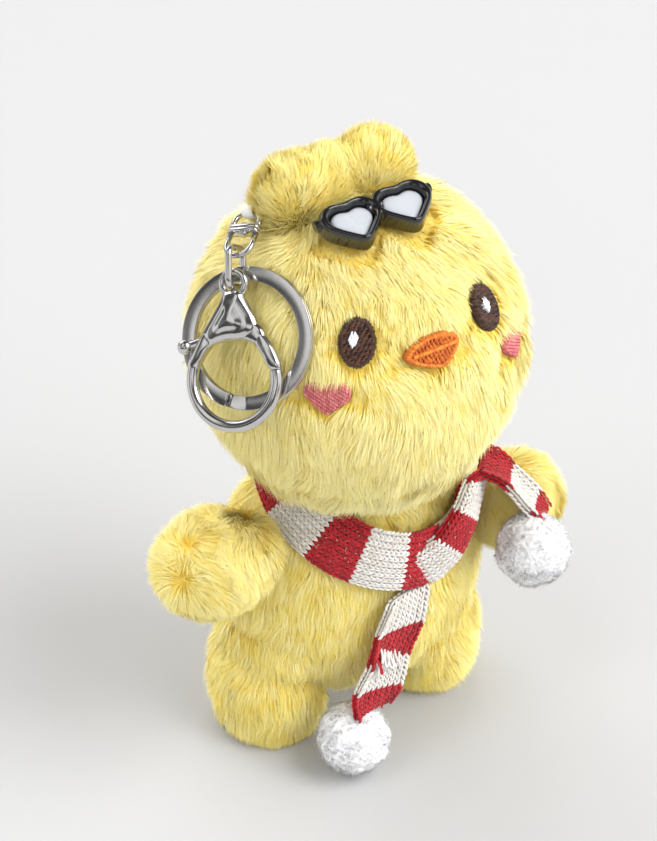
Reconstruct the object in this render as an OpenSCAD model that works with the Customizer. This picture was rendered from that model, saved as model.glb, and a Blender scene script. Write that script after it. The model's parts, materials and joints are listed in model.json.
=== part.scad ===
// Plush chick keychain: a furry chick that stands on its two feet, with a knitted scarf,
// heart sunglasses and a swivel chain that carries a lobster clasp and a split ring.
// Millimetres. The chick faces -Y, +Z is up, and the solids are the fabric under the pile.

/* [Head] */
// Height of the head's centre above the surface the chick stands on
head_z = 104; // [103:0.5:106]
// Radius of the head's fabric
head_r = 34.6; // [34:0.1:35]
// Thickness of the plush fabric
cover_t = 1.2; // [0.8:0.1:1.6]
// Angle that the face is turned towards the right arm
face_turn = -1.2; // [-4:0.2:0]

/* [Face] */
// Width of an embroidered eye
eye_w = 7.4; // [6:0.1:8]
// Height of an embroidered eye
eye_h = 10.2; // [9:0.1:11]
// Angle of each eye from the middle of the face
eye_azimuth = 28.4; // [26:0.2:30]
// Angle of the eyes above the head's centre
eye_latitude = 28.6; // [26:0.2:31]
// Width of the beak
beak_w = 13.2; // [12:0.1:14]
// How far the beak stands out from the fabric
beak_out = 3; // [2.4:0.1:4]
// Angle of each cheek from the middle of the face
cheek_azimuth = 38.5; // [37:0.5:40]
// Width of one lobe of a cheek heart
cheek_lobe = 5.6; // [5:0.1:6]

/* [Body] */
// Half of the torso's width
torso_rx = 30.5; // [30:0.1:31]
// Half of the torso's depth
torso_ry = 21.5; // [21:0.1:22]
// Half of the torso's height
torso_rz = 32; // [31.5:0.1:32.5]
// Distance of each leg's middle from the torso's middle
leg_x = 21; // [20:0.1:22]
// Half of a leg's width
leg_r = 11.5; // [11:0.1:12]

/* [Scarf] */
// Thickness of the knitted strip, which is a flattened tube
knit_t = 2.2; // [1.8:0.1:2.6]
// Width of the hanging ends
tail_w = 12.5; // [11:0.5:13]
// Diameter of each pompom
pompom_d = 17.6; // [16:0.1:18]

/* [Hardware] */
// Outer radius of the split ring
ring_r = 15; // [14.8:0.1:15.2]
// Radial width of the split ring's wire
ring_w = 3; // [2.8:0.1:3.2]
// Thickness of the two coils of the split ring together
ring_t = 1.8; // [1.6:0.1:1.8]
// Diameter of the clasp's hook wire
hook_d = 2.6; // [2.4:0.1:2.7]
// Radius of the hook's centre line
hook_r = 9.7; // [9.5:0.1:9.8]
// Thickness of the clasp's body
clasp_t = 3.6; // [3.4:0.1:3.6]
// Diameter of the chain link's wire
link_d = 1.4; // [1.2:0.1:1.5]
// Diameter of the swivel's wire
swivel_d = 1.2; // [1:0.1:1.3]

/* [Hidden] */
$fn = 48;
// Distance from the standing frame's origin to the middle of the whole object's box
origin_x = -1.89;
origin_y = -0.7;
seam_y = 5;                    // plane of the seams between front and back panels
inner_gap = 0.1;               // between a cover and its stuffing
torso_at = [2, 6, 41];
legs_middle = 1;               // the middle between the two legs
leg_at = [leg_x, 6.6, 13];
leg_ry = 13.5;
leg_rz = 20;
head_at = [0, 0, head_z];

// Arms: the shoulder is the ball that the arm turns on
shoulder_r = 4;
shoulder_right = [-29.2, -1, 58.3];
shoulder_left = [34.6, -5, 53];
arm_right_at = [-39, -7, 61];
arm_left_at = [38.4, -7.3, 51.8];
arm_right_size = [12.5, 9, 10];
arm_left_size = [9.3, 8.5, 9.2];

// Tuft: two lobes of one crest across the top of the head
tuft_left_lobe = [4.4, 3.4, 141.6];
tuft_right_lobe = [-14.2, 3, 140.5];
tuft_left_size = [6.5, 4, 6.5];
tuft_right_size = [6, 4, 6];

// Scarf
wrap_at = [4.1, 2.2, 58.5];
wrap_tilt = [27.9, 11.6, 0];
wrap_r = 29.5;                 // the wrap is a slice of a ball, cut this far above its centre
wrap_drop = 10.7;
wrap_back = 2;
wrap_h = 12;
front_tail_top = [1.6, -20, 44.4];
front_tail_end = [-8, -21, 18.4];
pompom_front_at = [-11.9, -20.6, 9.3];
side_tail_top = [26.6, -13, 68.4];
side_tail_end = [38, -22.4, 56.2];
side_tail_turn = 53;           // direction that the side end hangs in, from -Y towards +X
pompom_side_at = [32.2, -25.6, 51];

// Chain: its frame has X across, Y up the chain and Z away from the head, from the head's centre
chain_azimuth = -57.6;
chain_latitude = 29.7;
chain_roll = 15.1;
link_x = -10.3;
link_low = 8.9;                // centre of the link's lower bend
link_level = 38.75;            // height of the link above the head's centre
link_len = 8.15;               // between the centres of the link's two bends
link_inner = 5.4;              // opening across the link
link_corner = 1.8;             // centre-line radius of the link's corners
ring_level = 37.3;
clasp_level = 40.2;
swivel_tilt = 35;              // the swivel leans towards the head
swivel_w = 7;
swivel_lower_len = 5.9;        // from the lower loop's bend to its plate
plate_t = 0.8;
plate_d = 2.4;
plate_gap = 0.1;
swivel_upper_len = 4.1;        // from the upper plate to the upper loop's bend
rivet_r = 0.7;
rivet_head_r = 1.1;
rivet_head_t = 0.5;
running_gap = 0.05;
swivel_y = link_low + link_len - (link_d + swivel_d) / 2 - 0.35;
ring_hang = 10.7;              // angle of the ring from straight down the chain
ring_drop = ring_r - ring_w - link_d / 2 - 0.45;

// Clasp outline, with the centre of its eye as origin
eye_r = 3.1;
eye_hole_r = 2.2;
eye_t = 1.8;
eye_drop = 0.45;               // the eye sits this much below the clasp's origin
clasp_x = -10.13;
clasp_y = 9.91;
hook_at = [0.2, -20.3];
hook_start = 150;              // the hook leaves the body here and ends at its nose
hook_end = 371;
gate_pivot = [0.6, -9.6];
gate_t = 1.8;
gate_reach = 12;               // the gate ends on this circle about its pivot
slot_gap = 0.05;
ball_at = [-11.3, -13.4];
ball_r = 1.6;
spring_wire_r = 0.3;
spring_r = 1.3;

plush_yellow = "#f4dc5a";
filling_white = "#f2f0ea";
metal = "#b9bcc0";
knit_red = "#b3131f";
thread_brown = "#4a2a18";
thread_orange = "#e8862a";
thread_pink = "#e0808a";

// Puts the standing frame's origin at the middle of the whole object's box
module placed() { translate([-origin_x, -origin_y, 0]) children(); }

module ellipsoid(at, size) { translate(at) scale(size) sphere(1); }

// Half space in front of the seam (side -1) or behind it (side 1)
module seam_side(side) { translate([-100, side < 0 ? seam_y - 200 : seam_y, -10]) cube([200, 200, 200]); }

// A place on the head: children stand with +Z away from the head's centre and +Y up
module on_head(azimuth, latitude) {
    translate(head_at) rotate([90 - latitude, 0, azimuth]) children();
}

// A patch of a given outline that follows the head from its fabric to out above it
module head_patch(azimuth, latitude, out) {
    intersection() {
        on_head(azimuth, latitude) linear_extrude(head_r + 20) children();
        difference() {
            translate(head_at) sphere(head_r + out);
            translate(head_at) sphere(head_r + 0.02);
        }
    }
}

// Head ------------------------------------------------------------------------------------

module head_panel(side) {
    color(plush_yellow) placed() translate(head_at) rotate([-90, 0, 0]) rotate_extrude($fn = 96)
        intersection() {
            difference() {
                circle(head_r, $fn = 96);
                circle(head_r - cover_t, $fn = 96);
            }
            translate([0, side < 0 ? seam_y - 100 : seam_y]) square([100, 100]);
        }
}
module head_front_panel() { head_panel(-1); }
module head_back_panel() { head_panel(1); }
module head_stuffing() {
    color(filling_white) placed() translate(head_at) sphere(head_r - cover_t - inner_gap);
}

module tuft_shape(inset) {
    hull() {
        ellipsoid(tuft_left_lobe, tuft_left_size - [inset, inset, inset], $fn = 28);
        ellipsoid(tuft_right_lobe, tuft_right_size - [inset, inset, inset], $fn = 28);
    }
}
module tuft_cover() {
    color(plush_yellow) placed() difference() {
        tuft_shape(0);
        tuft_shape(cover_t);
        translate(head_at) sphere(head_r + 0.05, $fn = 96);
    }
}
module tuft_stuffing() {
    color(filling_white) placed() difference() {
        tuft_shape(cover_t + inner_gap);
        translate(head_at) sphere(head_r + 0.05, $fn = 96);
    }
}

// Face ------------------------------------------------------------------------------------

module eye_outline() { scale([eye_w / 2, eye_h / 2]) circle(1); }
module glint_outline() { translate([-0.9, 0.9]) scale([0.95, 1.3]) circle(1); }

module eye(side) {
    color(thread_brown) placed()
        head_patch(face_turn + side * eye_azimuth, eye_latitude, 1.7) difference() {
            eye_outline();
            glint_outline();
        }
}
module eye_glint(side) {
    color("white") placed()
        head_patch(face_turn + side * eye_azimuth, eye_latitude, 1.9) glint_outline();
}
module eye_right() { eye(-1); }
module eye_left() { eye(1); }
module eye_glint_right() { eye_glint(-1); }
module eye_glint_left() { eye_glint(1); }

// The beak is a leaf: two arcs that meet at its corners; the mouth line divides it
beak_turn = -1.4;
beak_h = 3.4;
beak_drop = 4;
module leaf_side(h) {
    r = (beak_w * beak_w / 4 + h * h) / (2 * h);
    intersection() {
        translate([0, h - r]) circle(r);
        translate([-beak_w, 0]) square([2 * beak_w, 2 * h]);
    }
}
module beak_outline() {
    leaf_side(beak_h);
    mirror([0, 1]) leaf_side(beak_drop);
}
module beak_half(above) {
    color(thread_orange) placed() head_patch(face_turn + beak_turn, 22.8, beak_out) intersection() {
        beak_outline();
        translate([-20, above ? 0 : -20]) square([40, 20]);
    }
}
module beak_upper() { beak_half(true); }
module beak_lower() { beak_half(false); }

// Heart outline from two circles and the square corner below them
module heart(lobe_d) {
    half = lobe_d / 2;
    shift = half * 0.78;
    translate([-shift, 0]) circle(half);
    translate([shift, 0]) circle(half);
    polygon([[-shift - half * 0.74, -half * 0.68], [0, -half * 2.05],
             [shift + half * 0.74, -half * 0.68], [0, half * 0.6]]);
}
module cheek(side) {
    color(thread_pink) placed()
        head_patch(face_turn + side * cheek_azimuth, 11.5, 1.6) heart(cheek_lobe);
}
module cheek_right() { cheek(-1); }
module cheek_left() { cheek(1); }

// Sunglasses ------------------------------------------------------------------------------

glasses_azimuth = -9.3;
glasses_latitude = 71;
glasses_roll = 11;
glasses_low = 36.2;
glasses_t = 4;
heart_x = 6.3;
heart_lobe = 7.2;
lens_lobe = 4.9;
module glasses_frame_outline() {
    for (side = [-1, 1]) {
        translate([side * heart_x, 1.2]) heart(heart_lobe);
        translate([side * 12.8, 2.6]) circle(1.3);
    }
    translate([-2.2, 0.6]) square([4.4, 3]);
}
module on_glasses() { on_head(glasses_azimuth, glasses_latitude) rotate(glasses_roll) children(); }
module sunglasses_frame() {
    color("#101012") placed() {
        on_glasses() difference() {
            translate([0, 0, glasses_low]) linear_extrude(glasses_t) glasses_frame_outline();
            for (side = [-1, 1])
                translate([side * heart_x, 0.9, glasses_low + 1.4])
                    linear_extrude(glasses_t) heart(lens_lobe);
        }
        difference() {
            on_glasses() for (side = [-1, 1])
                translate([side * heart_x, 0, glasses_low - 3]) cylinder(r = 1.6, h = 3.2);
            translate(head_at) sphere(head_r + 0.02);
        }
    }
}
module sunglasses_lens(side) {
    color("#dfe2e6") placed() on_glasses()
        translate([side * heart_x, 0.9, glasses_low + 1.4]) linear_extrude(1) heart(lens_lobe - 0.1);
}
module sunglasses_lens_right() { sunglasses_lens(-1); }
module sunglasses_lens_left() { sunglasses_lens(1); }

// Body and legs ---------------------------------------------------------------------------

module body_shape(inset) {
    difference() {
        union() {
            ellipsoid(torso_at, [torso_rx - inset, torso_ry - inset, torso_rz - inset]);
            for (side = [-1, 1])
                ellipsoid([legs_middle + side * leg_at[0], leg_at[1], leg_at[2]],
                          [leg_r - inset, leg_ry - inset, leg_rz - inset]);
        }
        translate([-60, -60, -60 + inset]) cube([120, 120, 60]);
        translate(head_at) sphere(head_r + 0.05);
    }
}
module body_panel(side) {
    color(plush_yellow) placed() difference() {
        intersection() {
            body_shape(0);
            seam_side(side);
        }
        body_shape(cover_t);
    }
}
module body_front_panel() { body_panel(-1); }
module body_back_panel() { body_panel(1); }
module body_stuffing() { color(filling_white) placed() body_shape(cover_t + inner_gap); }

// Arms ------------------------------------------------------------------------------------

module arm_shape(shoulder, at, size, inset) {
    hull() {
        translate(shoulder) sphere(shoulder_r - inset, $fn = 24);
        ellipsoid(at, size - [inset, inset, inset], $fn = 28);
    }
}
module arm_cover(shoulder, at, size) {
    color(plush_yellow) placed() difference() {
        arm_shape(shoulder, at, size, 0);
        arm_shape(shoulder, at, size, cover_t);
    }
}
module arm_stuffing(shoulder, at, size) {
    color(filling_white) placed() arm_shape(shoulder, at, size, cover_t + inner_gap);
}
module arm_right_cover() { arm_cover(shoulder_right, arm_right_at, arm_right_size); }
module arm_left_cover() { arm_cover(shoulder_left, arm_left_at, arm_left_size); }
module arm_right_stuffing() { arm_stuffing(shoulder_right, arm_right_at, arm_right_size); }
module arm_left_stuffing() { arm_stuffing(shoulder_left, arm_left_at, arm_left_size); }

// Scarf -----------------------------------------------------------------------------------

module scarf_wrap() {
    clear = 0.45;
    color(knit_red) placed() difference() {
        translate(wrap_at) rotate(wrap_tilt) intersection() {
            translate([0, wrap_back, -wrap_drop]) sphere(wrap_r, $fn = 96);
            translate([-50, -50, 0]) cube([100, 100, wrap_h]);
        }
        hull() ellipsoid(torso_at, [torso_rx + clear, torso_ry + clear, torso_rz + clear], $fn = 32);
        translate(head_at) sphere(head_r + 0.3, $fn = 96);
    }
}

// A flat knitted end between two points, round where it hinges; its width stays level
module knit_end(top, low, turn) {
    run = low - top;
    out = run[0] * sin(turn) - run[1] * cos(turn);
    aside = run[0] * cos(turn) + run[1] * sin(turn);
    span = norm([out, run[2]]);
    translate(top) rotate(turn) rotate([-atan2(out, -run[2]), 0, 0]) {
        rotate([0, 90, 0]) cylinder(d = knit_t, h = tail_w, center = true);
        rotate([90, 0, 0]) linear_extrude(knit_t, center = true)
            polygon([[-tail_w / 2, 0], [tail_w / 2, 0], [aside + tail_w / 2, -span],
                     [aside - tail_w / 2, -span]]);
    }
}
module scarf_front_end() { color(knit_red) placed() knit_end(front_tail_top, front_tail_end, 0); }
// The side end is sewn into the top of its pompom
module scarf_side_end() {
    color(knit_red) placed() difference() {
        knit_end(side_tail_top, side_tail_end, side_tail_turn);
        translate(pompom_side_at) sphere(d = pompom_d + 0.04);
    }
}
module pompom_front() { color("white") placed() translate(pompom_front_at) sphere(d = pompom_d); }
module pompom_side() { color("white") placed() translate(pompom_side_at) sphere(d = pompom_d); }

// Chain -----------------------------------------------------------------------------------

module chain_frame() {
    translate(head_at) rotate([90 - chain_latitude, 0, chain_azimuth]) rotate(chain_roll) children();
}
// The swivel stands on the link's upper bend: +Y runs up the swivel
module swivel_frame() {
    chain_frame() translate([link_x, swivel_y, link_level]) rotate([-swivel_tilt, 0, 0]) children();
}

// A wire U: its bend is at the origin, its legs run to y = leg
module wire_u(width, leg, d) {
    r = (width - d) / 2;
    translate([0, r, 0]) rotate(180) rotate_extrude(angle = 180) translate([r, 0]) circle(d = d);
    for (side = [-1, 1])
        translate([side * r, r, 0]) rotate([-90, 0, 0]) cylinder(d = d, h = leg - r);
}
module swivel_plate(hole_r) {
    difference() {
        translate([-swivel_w / 2, 0, -plate_d / 2]) cube([swivel_w, plate_t, plate_d]);
        translate([0, -1, 0]) rotate([-90, 0, 0]) cylinder(r = hole_r, h = plate_t + 2);
    }
}
upper_plate_y = swivel_lower_len + plate_t + plate_gap;
upper_bend_y = upper_plate_y + plate_t + swivel_upper_len;

module swivel_lower() {
    color(metal) placed() swivel_frame() {
        wire_u(swivel_w, swivel_lower_len + 0.1, swivel_d);
        translate([0, swivel_lower_len, 0]) swivel_plate(rivet_r);
    }
}
module swivel_upper() {
    color(metal) placed() swivel_frame() {
        translate([0, upper_bend_y, 0]) mirror([0, 1, 0])
            wire_u(swivel_w, swivel_upper_len + 0.1, swivel_d);
        translate([0, upper_plate_y, 0]) swivel_plate(rivet_r + running_gap);
    }
}
module swivel_rivet() {
    color(metal) placed() swivel_frame() rotate([-90, 0, 0]) {
        low = swivel_lower_len;
        high = upper_plate_y + plate_t;
        translate([0, 0, low - rivet_head_t]) cylinder(r = rivet_head_r, h = rivet_head_t);
        translate([0, 0, low - 0.1]) cylinder(r = rivet_r, h = high - low + plate_gap + 0.2);
        translate([0, 0, high + plate_gap]) cylinder(r = rivet_head_r, h = rivet_head_t);
    }
}

// A folded ribbon sewn into the head's seam; its end goes round the upper loop's bend
loop_w = 2.4;
loop_t = 1.2;
module hanging_loop() {
    color(plush_yellow) placed() difference() {
        swivel_frame() translate([0, upper_bend_y, 0]) {
            rotate([0, 90, 0]) difference() {
                cylinder(r = swivel_d / 2 + 1.1, h = loop_w, center = true);
                cylinder(r = swivel_d / 2 + 0.4, h = loop_w + 1, center = true);
            }
            rotate([loop_lean, 0, 0]) translate([-loop_w / 2, swivel_d / 2 + 0.7, -loop_t / 2])
                cube([loop_w, 9, loop_t]);
        }
        translate(head_at) sphere(head_r + 0.02);
    }
}
loop_lean = -92;               // turns the ribbon from along the swivel to straight at the head

// A rounded rectangular link in the plane across the loops that it joins
module chain_link() {
    r = link_corner;
    half_w = (link_inner + link_d) / 2 - r;
    half_l = link_len / 2 - r;
    color(metal) placed() chain_frame()
        translate([link_x, link_low + link_len / 2, link_level]) rotate([0, 90, 0]) {
            for (sx = [-1, 1], sy = [-1, 1])
                translate([sx * half_w, sy * half_l, 0])
                    rotate(sx > 0 ? (sy > 0 ? 0 : 270) : (sy > 0 ? 90 : 180))
                        rotate_extrude(angle = 90) translate([r, 0]) circle(d = link_d);
            for (side = [-1, 1]) {
                translate([side * (half_w + r), -half_l, 0]) rotate([-90, 0, 0])
                    cylinder(d = link_d, h = 2 * half_l);
                translate([-half_w, side * (half_l + r), 0]) rotate([0, 90, 0])
                    cylinder(d = link_d, h = 2 * half_w);
            }
        }
}

// Lobster clasp ---------------------------------------------------------------------------

module clasp_frame() { chain_frame() translate([clasp_x, clasp_y, clasp_level]) children(); }

module clasp_body_outline() {
    difference() {
        union() {
            polygon([[-2.1, -2.2], [-4.8, -7.4], [-8.1, -12.6], [-10.6, -17.2], [-8.2, -17.6],
                     [-6.3, -14.8], [-4.4, -13.2], [-2.6, -12.2], [-0.7, -11.8], [3.2, -11.7],
                     [5.2, -9.2], [5, -7.8], [3.7, -5.4], [1.5, -2.4]]);
            translate([3.3, -9.8]) circle(1.95);
        }
        translate([0, -eye_drop]) circle(eye_hole_r);
    }
}
module gate_slot_outline() {
    polygon([[-12, -3], [-12, -14.4], [-7.4, -13.3], [0, -13.3], [8, -14], [8, -7.2],
             [3.6, -6.2], [-2, -6.2]]);
}
module clasp_body() {
    color(metal) placed() clasp_frame() {
        difference() {
            translate([0, 0, -clasp_t / 2]) linear_extrude(clasp_t) clasp_body_outline();
            translate([0, 0, -gate_t / 2 - slot_gap]) linear_extrude(gate_t + 2 * slot_gap)
                gate_slot_outline();
            translate([gate_pivot[0], gate_pivot[1], -5]) cylinder(r = rivet_r, h = 10);
        }
        translate([0, -eye_drop, 0]) difference() {
            translate([0, 0, -eye_t / 2]) cylinder(r = eye_r, h = eye_t);
            translate([0, 0, -eye_t]) cylinder(r = eye_hole_r, h = 2 * eye_t);
        }
        translate([hook_at[0], hook_at[1], 0]) rotate(hook_start)
            rotate_extrude(angle = hook_end - hook_start) translate([hook_r, 0]) circle(d = hook_d);
    }
}
module gate_outline() {
    intersection() {
        union() {
            translate(gate_pivot) circle(1.9);
            polygon([[1, -7.9], [5.2, -8], [8.5, -12.75], [11.6, -19.2], [8.4, -19.4],
                     [6.6, -14.6], [3.4, -12], [0.6, -11.4]]);
            polygon([[0.4, -8.6], [-10.6, -12.4], [-11, -13.9], [0, -11.3]]);
        }
        translate(gate_pivot) circle(gate_reach + 0.4);
    }
}
module clasp_gate() {
    color(metal) placed() clasp_frame() {
        difference() {
            translate([0, 0, -gate_t / 2]) linear_extrude(gate_t) intersection() {
                gate_outline();
                union() {
                    translate(gate_pivot) circle(gate_reach);
                    translate([-13, -16]) square([13, 16]);
                }
            }
            translate([gate_pivot[0], gate_pivot[1], -5]) cylinder(r = rivet_r + running_gap, h = 10);
            translate([gate_pivot[0], gate_pivot[1], 0.05])
                cylinder(r = spring_r + spring_wire_r + 0.1, h = 5);
        }
        translate([ball_at[0], ball_at[1], 0]) rotate([0, 90, 20]) sphere(ball_r);
    }
}
module clasp_pin() {
    color(metal) placed() clasp_frame()
        translate([gate_pivot[0], gate_pivot[1], -clasp_t / 2]) cylinder(r = rivet_r, h = clasp_t);
}
// One turn of the torsion spring that shuts the gate, round the pin beside the gate's hub
module clasp_spring() {
    color(metal) placed() clasp_frame() translate([gate_pivot[0], gate_pivot[1], 0.48])
        rotate_extrude() translate([spring_r - 0.15, 0]) circle(spring_wire_r);
}

// Split ring: two flat coils that lie on each other and join in one joggle. Each coil runs
// into the joggle at one end and stops just short of it at the other
joggle_at = -120;
joggle_sweep = 20;
joggle_slim = 0.1;
module ring_coil(start, sweep) {
    coil_t = ring_t / 2 - 0.05;
    rotate(start) rotate_extrude(angle = sweep) translate([ring_r - ring_w, 0]) square([ring_w, coil_t]);
}
module split_ring() {
    color(metal) placed() chain_frame()
        translate([link_x + ring_drop * sin(ring_hang), link_low - ring_drop * cos(ring_hang), ring_level])
            rotate(ring_hang) {
                translate([0, 0, 0.05]) ring_coil(joggle_at + joggle_sweep - 2, 340);
                translate([0, 0, -ring_t / 2]) ring_coil(joggle_at + joggle_sweep + 2, 340);
                rotate(joggle_at) rotate_extrude(angle = joggle_sweep)
                    translate([ring_r - ring_w / 2, 0])
                        square([ring_w - joggle_slim, ring_t - joggle_slim], center = true);
            }
}

head_front_panel();
head_back_panel();
head_stuffing();
tuft_cover();
tuft_stuffing();
eye_right();
eye_left();
eye_glint_right();
eye_glint_left();
beak_upper();
beak_lower();
cheek_right();
cheek_left();
sunglasses_frame();
sunglasses_lens_right();
sunglasses_lens_left();
body_front_panel();
body_back_panel();
body_stuffing();
arm_right_cover();
arm_right_stuffing();
arm_left_cover();
arm_left_stuffing();
scarf_wrap();
scarf_front_end();
scarf_side_end();
pompom_front();
pompom_side();
hanging_loop();
swivel_upper();
swivel_lower();
swivel_rivet();
chain_link();
clasp_body();
clasp_gate();
clasp_pin();
clasp_spring();
split_ring();
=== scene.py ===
import json
import math
import bpy
import numpy as np
from mathutils import Matrix, Vector


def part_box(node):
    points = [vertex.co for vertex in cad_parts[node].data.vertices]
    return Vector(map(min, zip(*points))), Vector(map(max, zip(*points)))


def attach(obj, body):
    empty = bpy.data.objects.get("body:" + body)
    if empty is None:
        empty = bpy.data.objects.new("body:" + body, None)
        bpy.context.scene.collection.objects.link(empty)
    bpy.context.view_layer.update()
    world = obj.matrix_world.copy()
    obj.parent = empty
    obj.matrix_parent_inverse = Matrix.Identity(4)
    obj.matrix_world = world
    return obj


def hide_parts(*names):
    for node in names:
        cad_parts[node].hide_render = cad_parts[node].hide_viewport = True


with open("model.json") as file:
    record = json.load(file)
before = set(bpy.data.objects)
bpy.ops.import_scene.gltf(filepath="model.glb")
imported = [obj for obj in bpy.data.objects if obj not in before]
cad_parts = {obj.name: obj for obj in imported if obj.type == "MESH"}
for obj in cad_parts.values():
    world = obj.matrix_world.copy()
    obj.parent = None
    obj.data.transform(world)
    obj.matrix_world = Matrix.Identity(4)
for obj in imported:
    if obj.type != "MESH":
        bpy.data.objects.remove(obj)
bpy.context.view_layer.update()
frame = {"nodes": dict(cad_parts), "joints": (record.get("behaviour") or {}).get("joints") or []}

JOINTS = {j["name"]: j for j in frame["joints"]}

# Lengths below are in millimetres, in a standing frame whose head centre is HC: SHIFT takes a
# point from there to the frame that the CAD is in, and CHAIN turns the hardware's own frame.
HC = np.array([0.0, 0.0, 104.0])
HEAD_R = 34.6
lo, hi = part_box("head_stuffing")
SHIFT = np.array([(a + b) * 500 for a, b in zip(lo, hi)]) - HC
AXIS_N = np.array(JOINTS["ring_swing"]["axis"], float)
AXIS_S = -np.array(JOINTS["chain_lift"]["axis"], float)
CHAIN = np.stack([AXIS_S, np.cross(AXIS_N, AXIS_S), AXIS_N], 1)


def unit(v):
    return v / np.maximum(np.linalg.norm(v, axis=-1, keepdims=True), 1e-9)


def standing(p_m):
    return np.array(p_m, float) * 1000 - SHIFT


def middle(node):
    """The middle of a CAD node's box."""
    a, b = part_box(node)
    return standing((np.array(a) + np.array(b)) / 2)


def from_chain(p):
    return np.asarray(p, float) @ CHAIN.T + HC


# Meshes ------------------------------------------------------------------------------------

def add_mesh(name, verts, faces, mats, index=None, smooth=True, normals=None):
    me = bpy.data.meshes.new(name)
    v = (np.asarray(verts, float).reshape(-1, 3) + SHIFT) / 1000
    f = np.asarray(faces, np.int32)
    n, k = f.shape
    me.vertices.add(len(v))
    me.vertices.foreach_set("co", v.astype(np.float32).ravel())
    me.loops.add(n * k)
    me.loops.foreach_set("vertex_index", f.ravel())
    me.polygons.add(n)
    me.polygons.foreach_set("loop_start", np.arange(0, n * k, k, dtype=np.int32))
    for m in mats:
        me.materials.append(m)
    if index is not None:
        me.polygons.foreach_set("material_index", np.asarray(index, np.int32))
    me.polygons.foreach_set("use_smooth", np.full(n, smooth))
    if normals is not None:
        soft = me.attributes.new("custom_normal", "FLOAT_VECTOR", "POINT")
        soft.data.foreach_set("vector", normals.astype(np.float32).ravel())
    me.update(calc_edges=True)
    ob = bpy.data.objects.new(name, me)
    bpy.context.scene.collection.objects.link(ob)
    return ob


def fit(ob, body, slot, *nodes):
    """Puts a piece on a body in place of the CAD nodes that it stands for, and hides those nodes. slot,
    the name of a finish, is not used.
    """
    if nodes:
        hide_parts(*nodes)
    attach(ob, body)
    return ob


class Parts:
    """Collects pieces of mesh with one number of corners per face, each with a material index.
    With place, their points are given in another frame, and place takes them to the standing one."""

    def __init__(self, place=None):
        self.v, self.f, self.m, self.n = [], [], [], 0
        self.place = place

    def add(self, v, f, m=0):
        v = np.asarray(v, float).reshape(-1, 3)
        if self.place:
            v = self.place(v)
        f = np.asarray(f, np.int32)
        self.v.append(v)
        self.f.append(f + self.n)
        self.m.append(np.full(len(f), m) if np.isscalar(m) else np.asarray(m))
        self.n += len(v)

    def make(self, name, mats, smooth=True):
        return add_mesh(name, np.vstack(self.v), np.vstack(self.f), mats,
                        np.concatenate(self.m), smooth)


def sphere_mesh(centre, radii, nu=48, nv=24):
    t = np.linspace(0, math.pi, nv + 1)
    p = np.arange(nu) * 2 * math.pi / nu
    tt, pp = np.meshgrid(t, p, indexing="ij")
    v = np.stack([np.sin(tt) * np.cos(pp), np.sin(tt) * np.sin(pp), np.cos(tt)], -1).reshape(-1, 3)
    i, j = np.meshgrid(np.arange(nv), np.arange(nu), indexing="ij")
    a = (i * nu + j).ravel()
    b = (i * nu + (j + 1) % nu).ravel()
    return v * np.array(radii) + np.array(centre), np.stack([a, a + nu, b + nu, b], 1)


def remeshed(name, parts, voxel, smoothing, mats):
    """One closed skin round overlapping closed parts (in millimetres), with softened edges."""
    ob = add_mesh(name + "_raw", np.vstack(parts.v), np.vstack(parts.f), [])
    m = ob.modifiers.new("skin", "REMESH")
    m.mode, m.voxel_size, m.use_smooth_shade = "VOXEL", voxel / 1000, True
    s = ob.modifiers.new("soft", "SMOOTH")
    s.factor, s.iterations = 0.5, smoothing
    bpy.context.view_layer.update()
    dg = bpy.context.evaluated_depsgraph_get()
    me = bpy.data.meshes.new_from_object(ob.evaluated_get(dg))
    me.name = name
    me.materials.clear()
    for k in mats:
        me.materials.append(k)
    me.polygons.foreach_set("use_smooth", np.ones(len(me.polygons), bool))
    out = bpy.data.objects.new(name, me)
    bpy.context.scene.collection.objects.link(out)
    bpy.data.objects.remove(ob)
    return out


def frames_along(path, closed):
    p = np.asarray(path, float)
    if closed:
        t = unit(np.roll(p, -1, 0) - np.roll(p, 1, 0))
    else:
        t = unit(np.gradient(p, axis=0))
    ref = np.array([0.0, 0.0, 1.0]) if abs(t[0][2]) < 0.9 else np.array([1.0, 0.0, 0.0])
    a = unit(np.cross(t[0], ref))
    out = [a]
    for k in range(1, len(p)):
        a = unit(a - t[k] * (a @ t[k]))
        out.append(a)
    a = np.array(out)
    return p, a, np.cross(t, a)


def ring_quads(n, sides, closed=False):
    """Quads between n rings of points; with closed, the last ring joins the first."""
    i, j = np.meshgrid(np.arange(n if closed else n - 1), np.arange(sides), indexing="ij")
    i2, j2 = (i + 1) % n, (j + 1) % sides
    f = np.stack([i * sides + j, i * sides + j2, i2 * sides + j2, i2 * sides + j], -1)
    return f.reshape(-1, 4)


def thread_quads(count, steps, sides):
    """Quads for many threads of the same number of rings."""
    return (np.arange(count)[:, None, None] * steps * sides + ring_quads(steps, sides)).reshape(-1, 4)


def loft(rings):
    """Quads between rings of points that have the same count."""
    return np.vstack(rings), ring_quads(len(rings), len(rings[0]))


def shut(ring):
    """A ring of points drawn in almost to its middle, to close an end."""
    c = ring.mean(1, keepdims=True)
    return c + (ring - c) * 0.02


def tube(path, r, sides=16, closed=False):
    """A round wire along a path; its ends are drawn in to a point."""
    p, a, b = frames_along(path, closed)
    rad = np.full(len(p), float(r)) if np.isscalar(r) else np.asarray(r, float)
    ang = np.arange(sides) * 2 * math.pi / sides
    ring = np.cos(ang)[None, :, None] * a[:, None] + np.sin(ang)[None, :, None] * b[:, None]
    v = p[:, None] + rad[:, None, None] * ring
    if not closed:
        v = np.concatenate([shut(v[:1]), v, shut(v[-1:])])
    return v.reshape(-1, 3), ring_quads(len(v), sides, closed)


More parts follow.
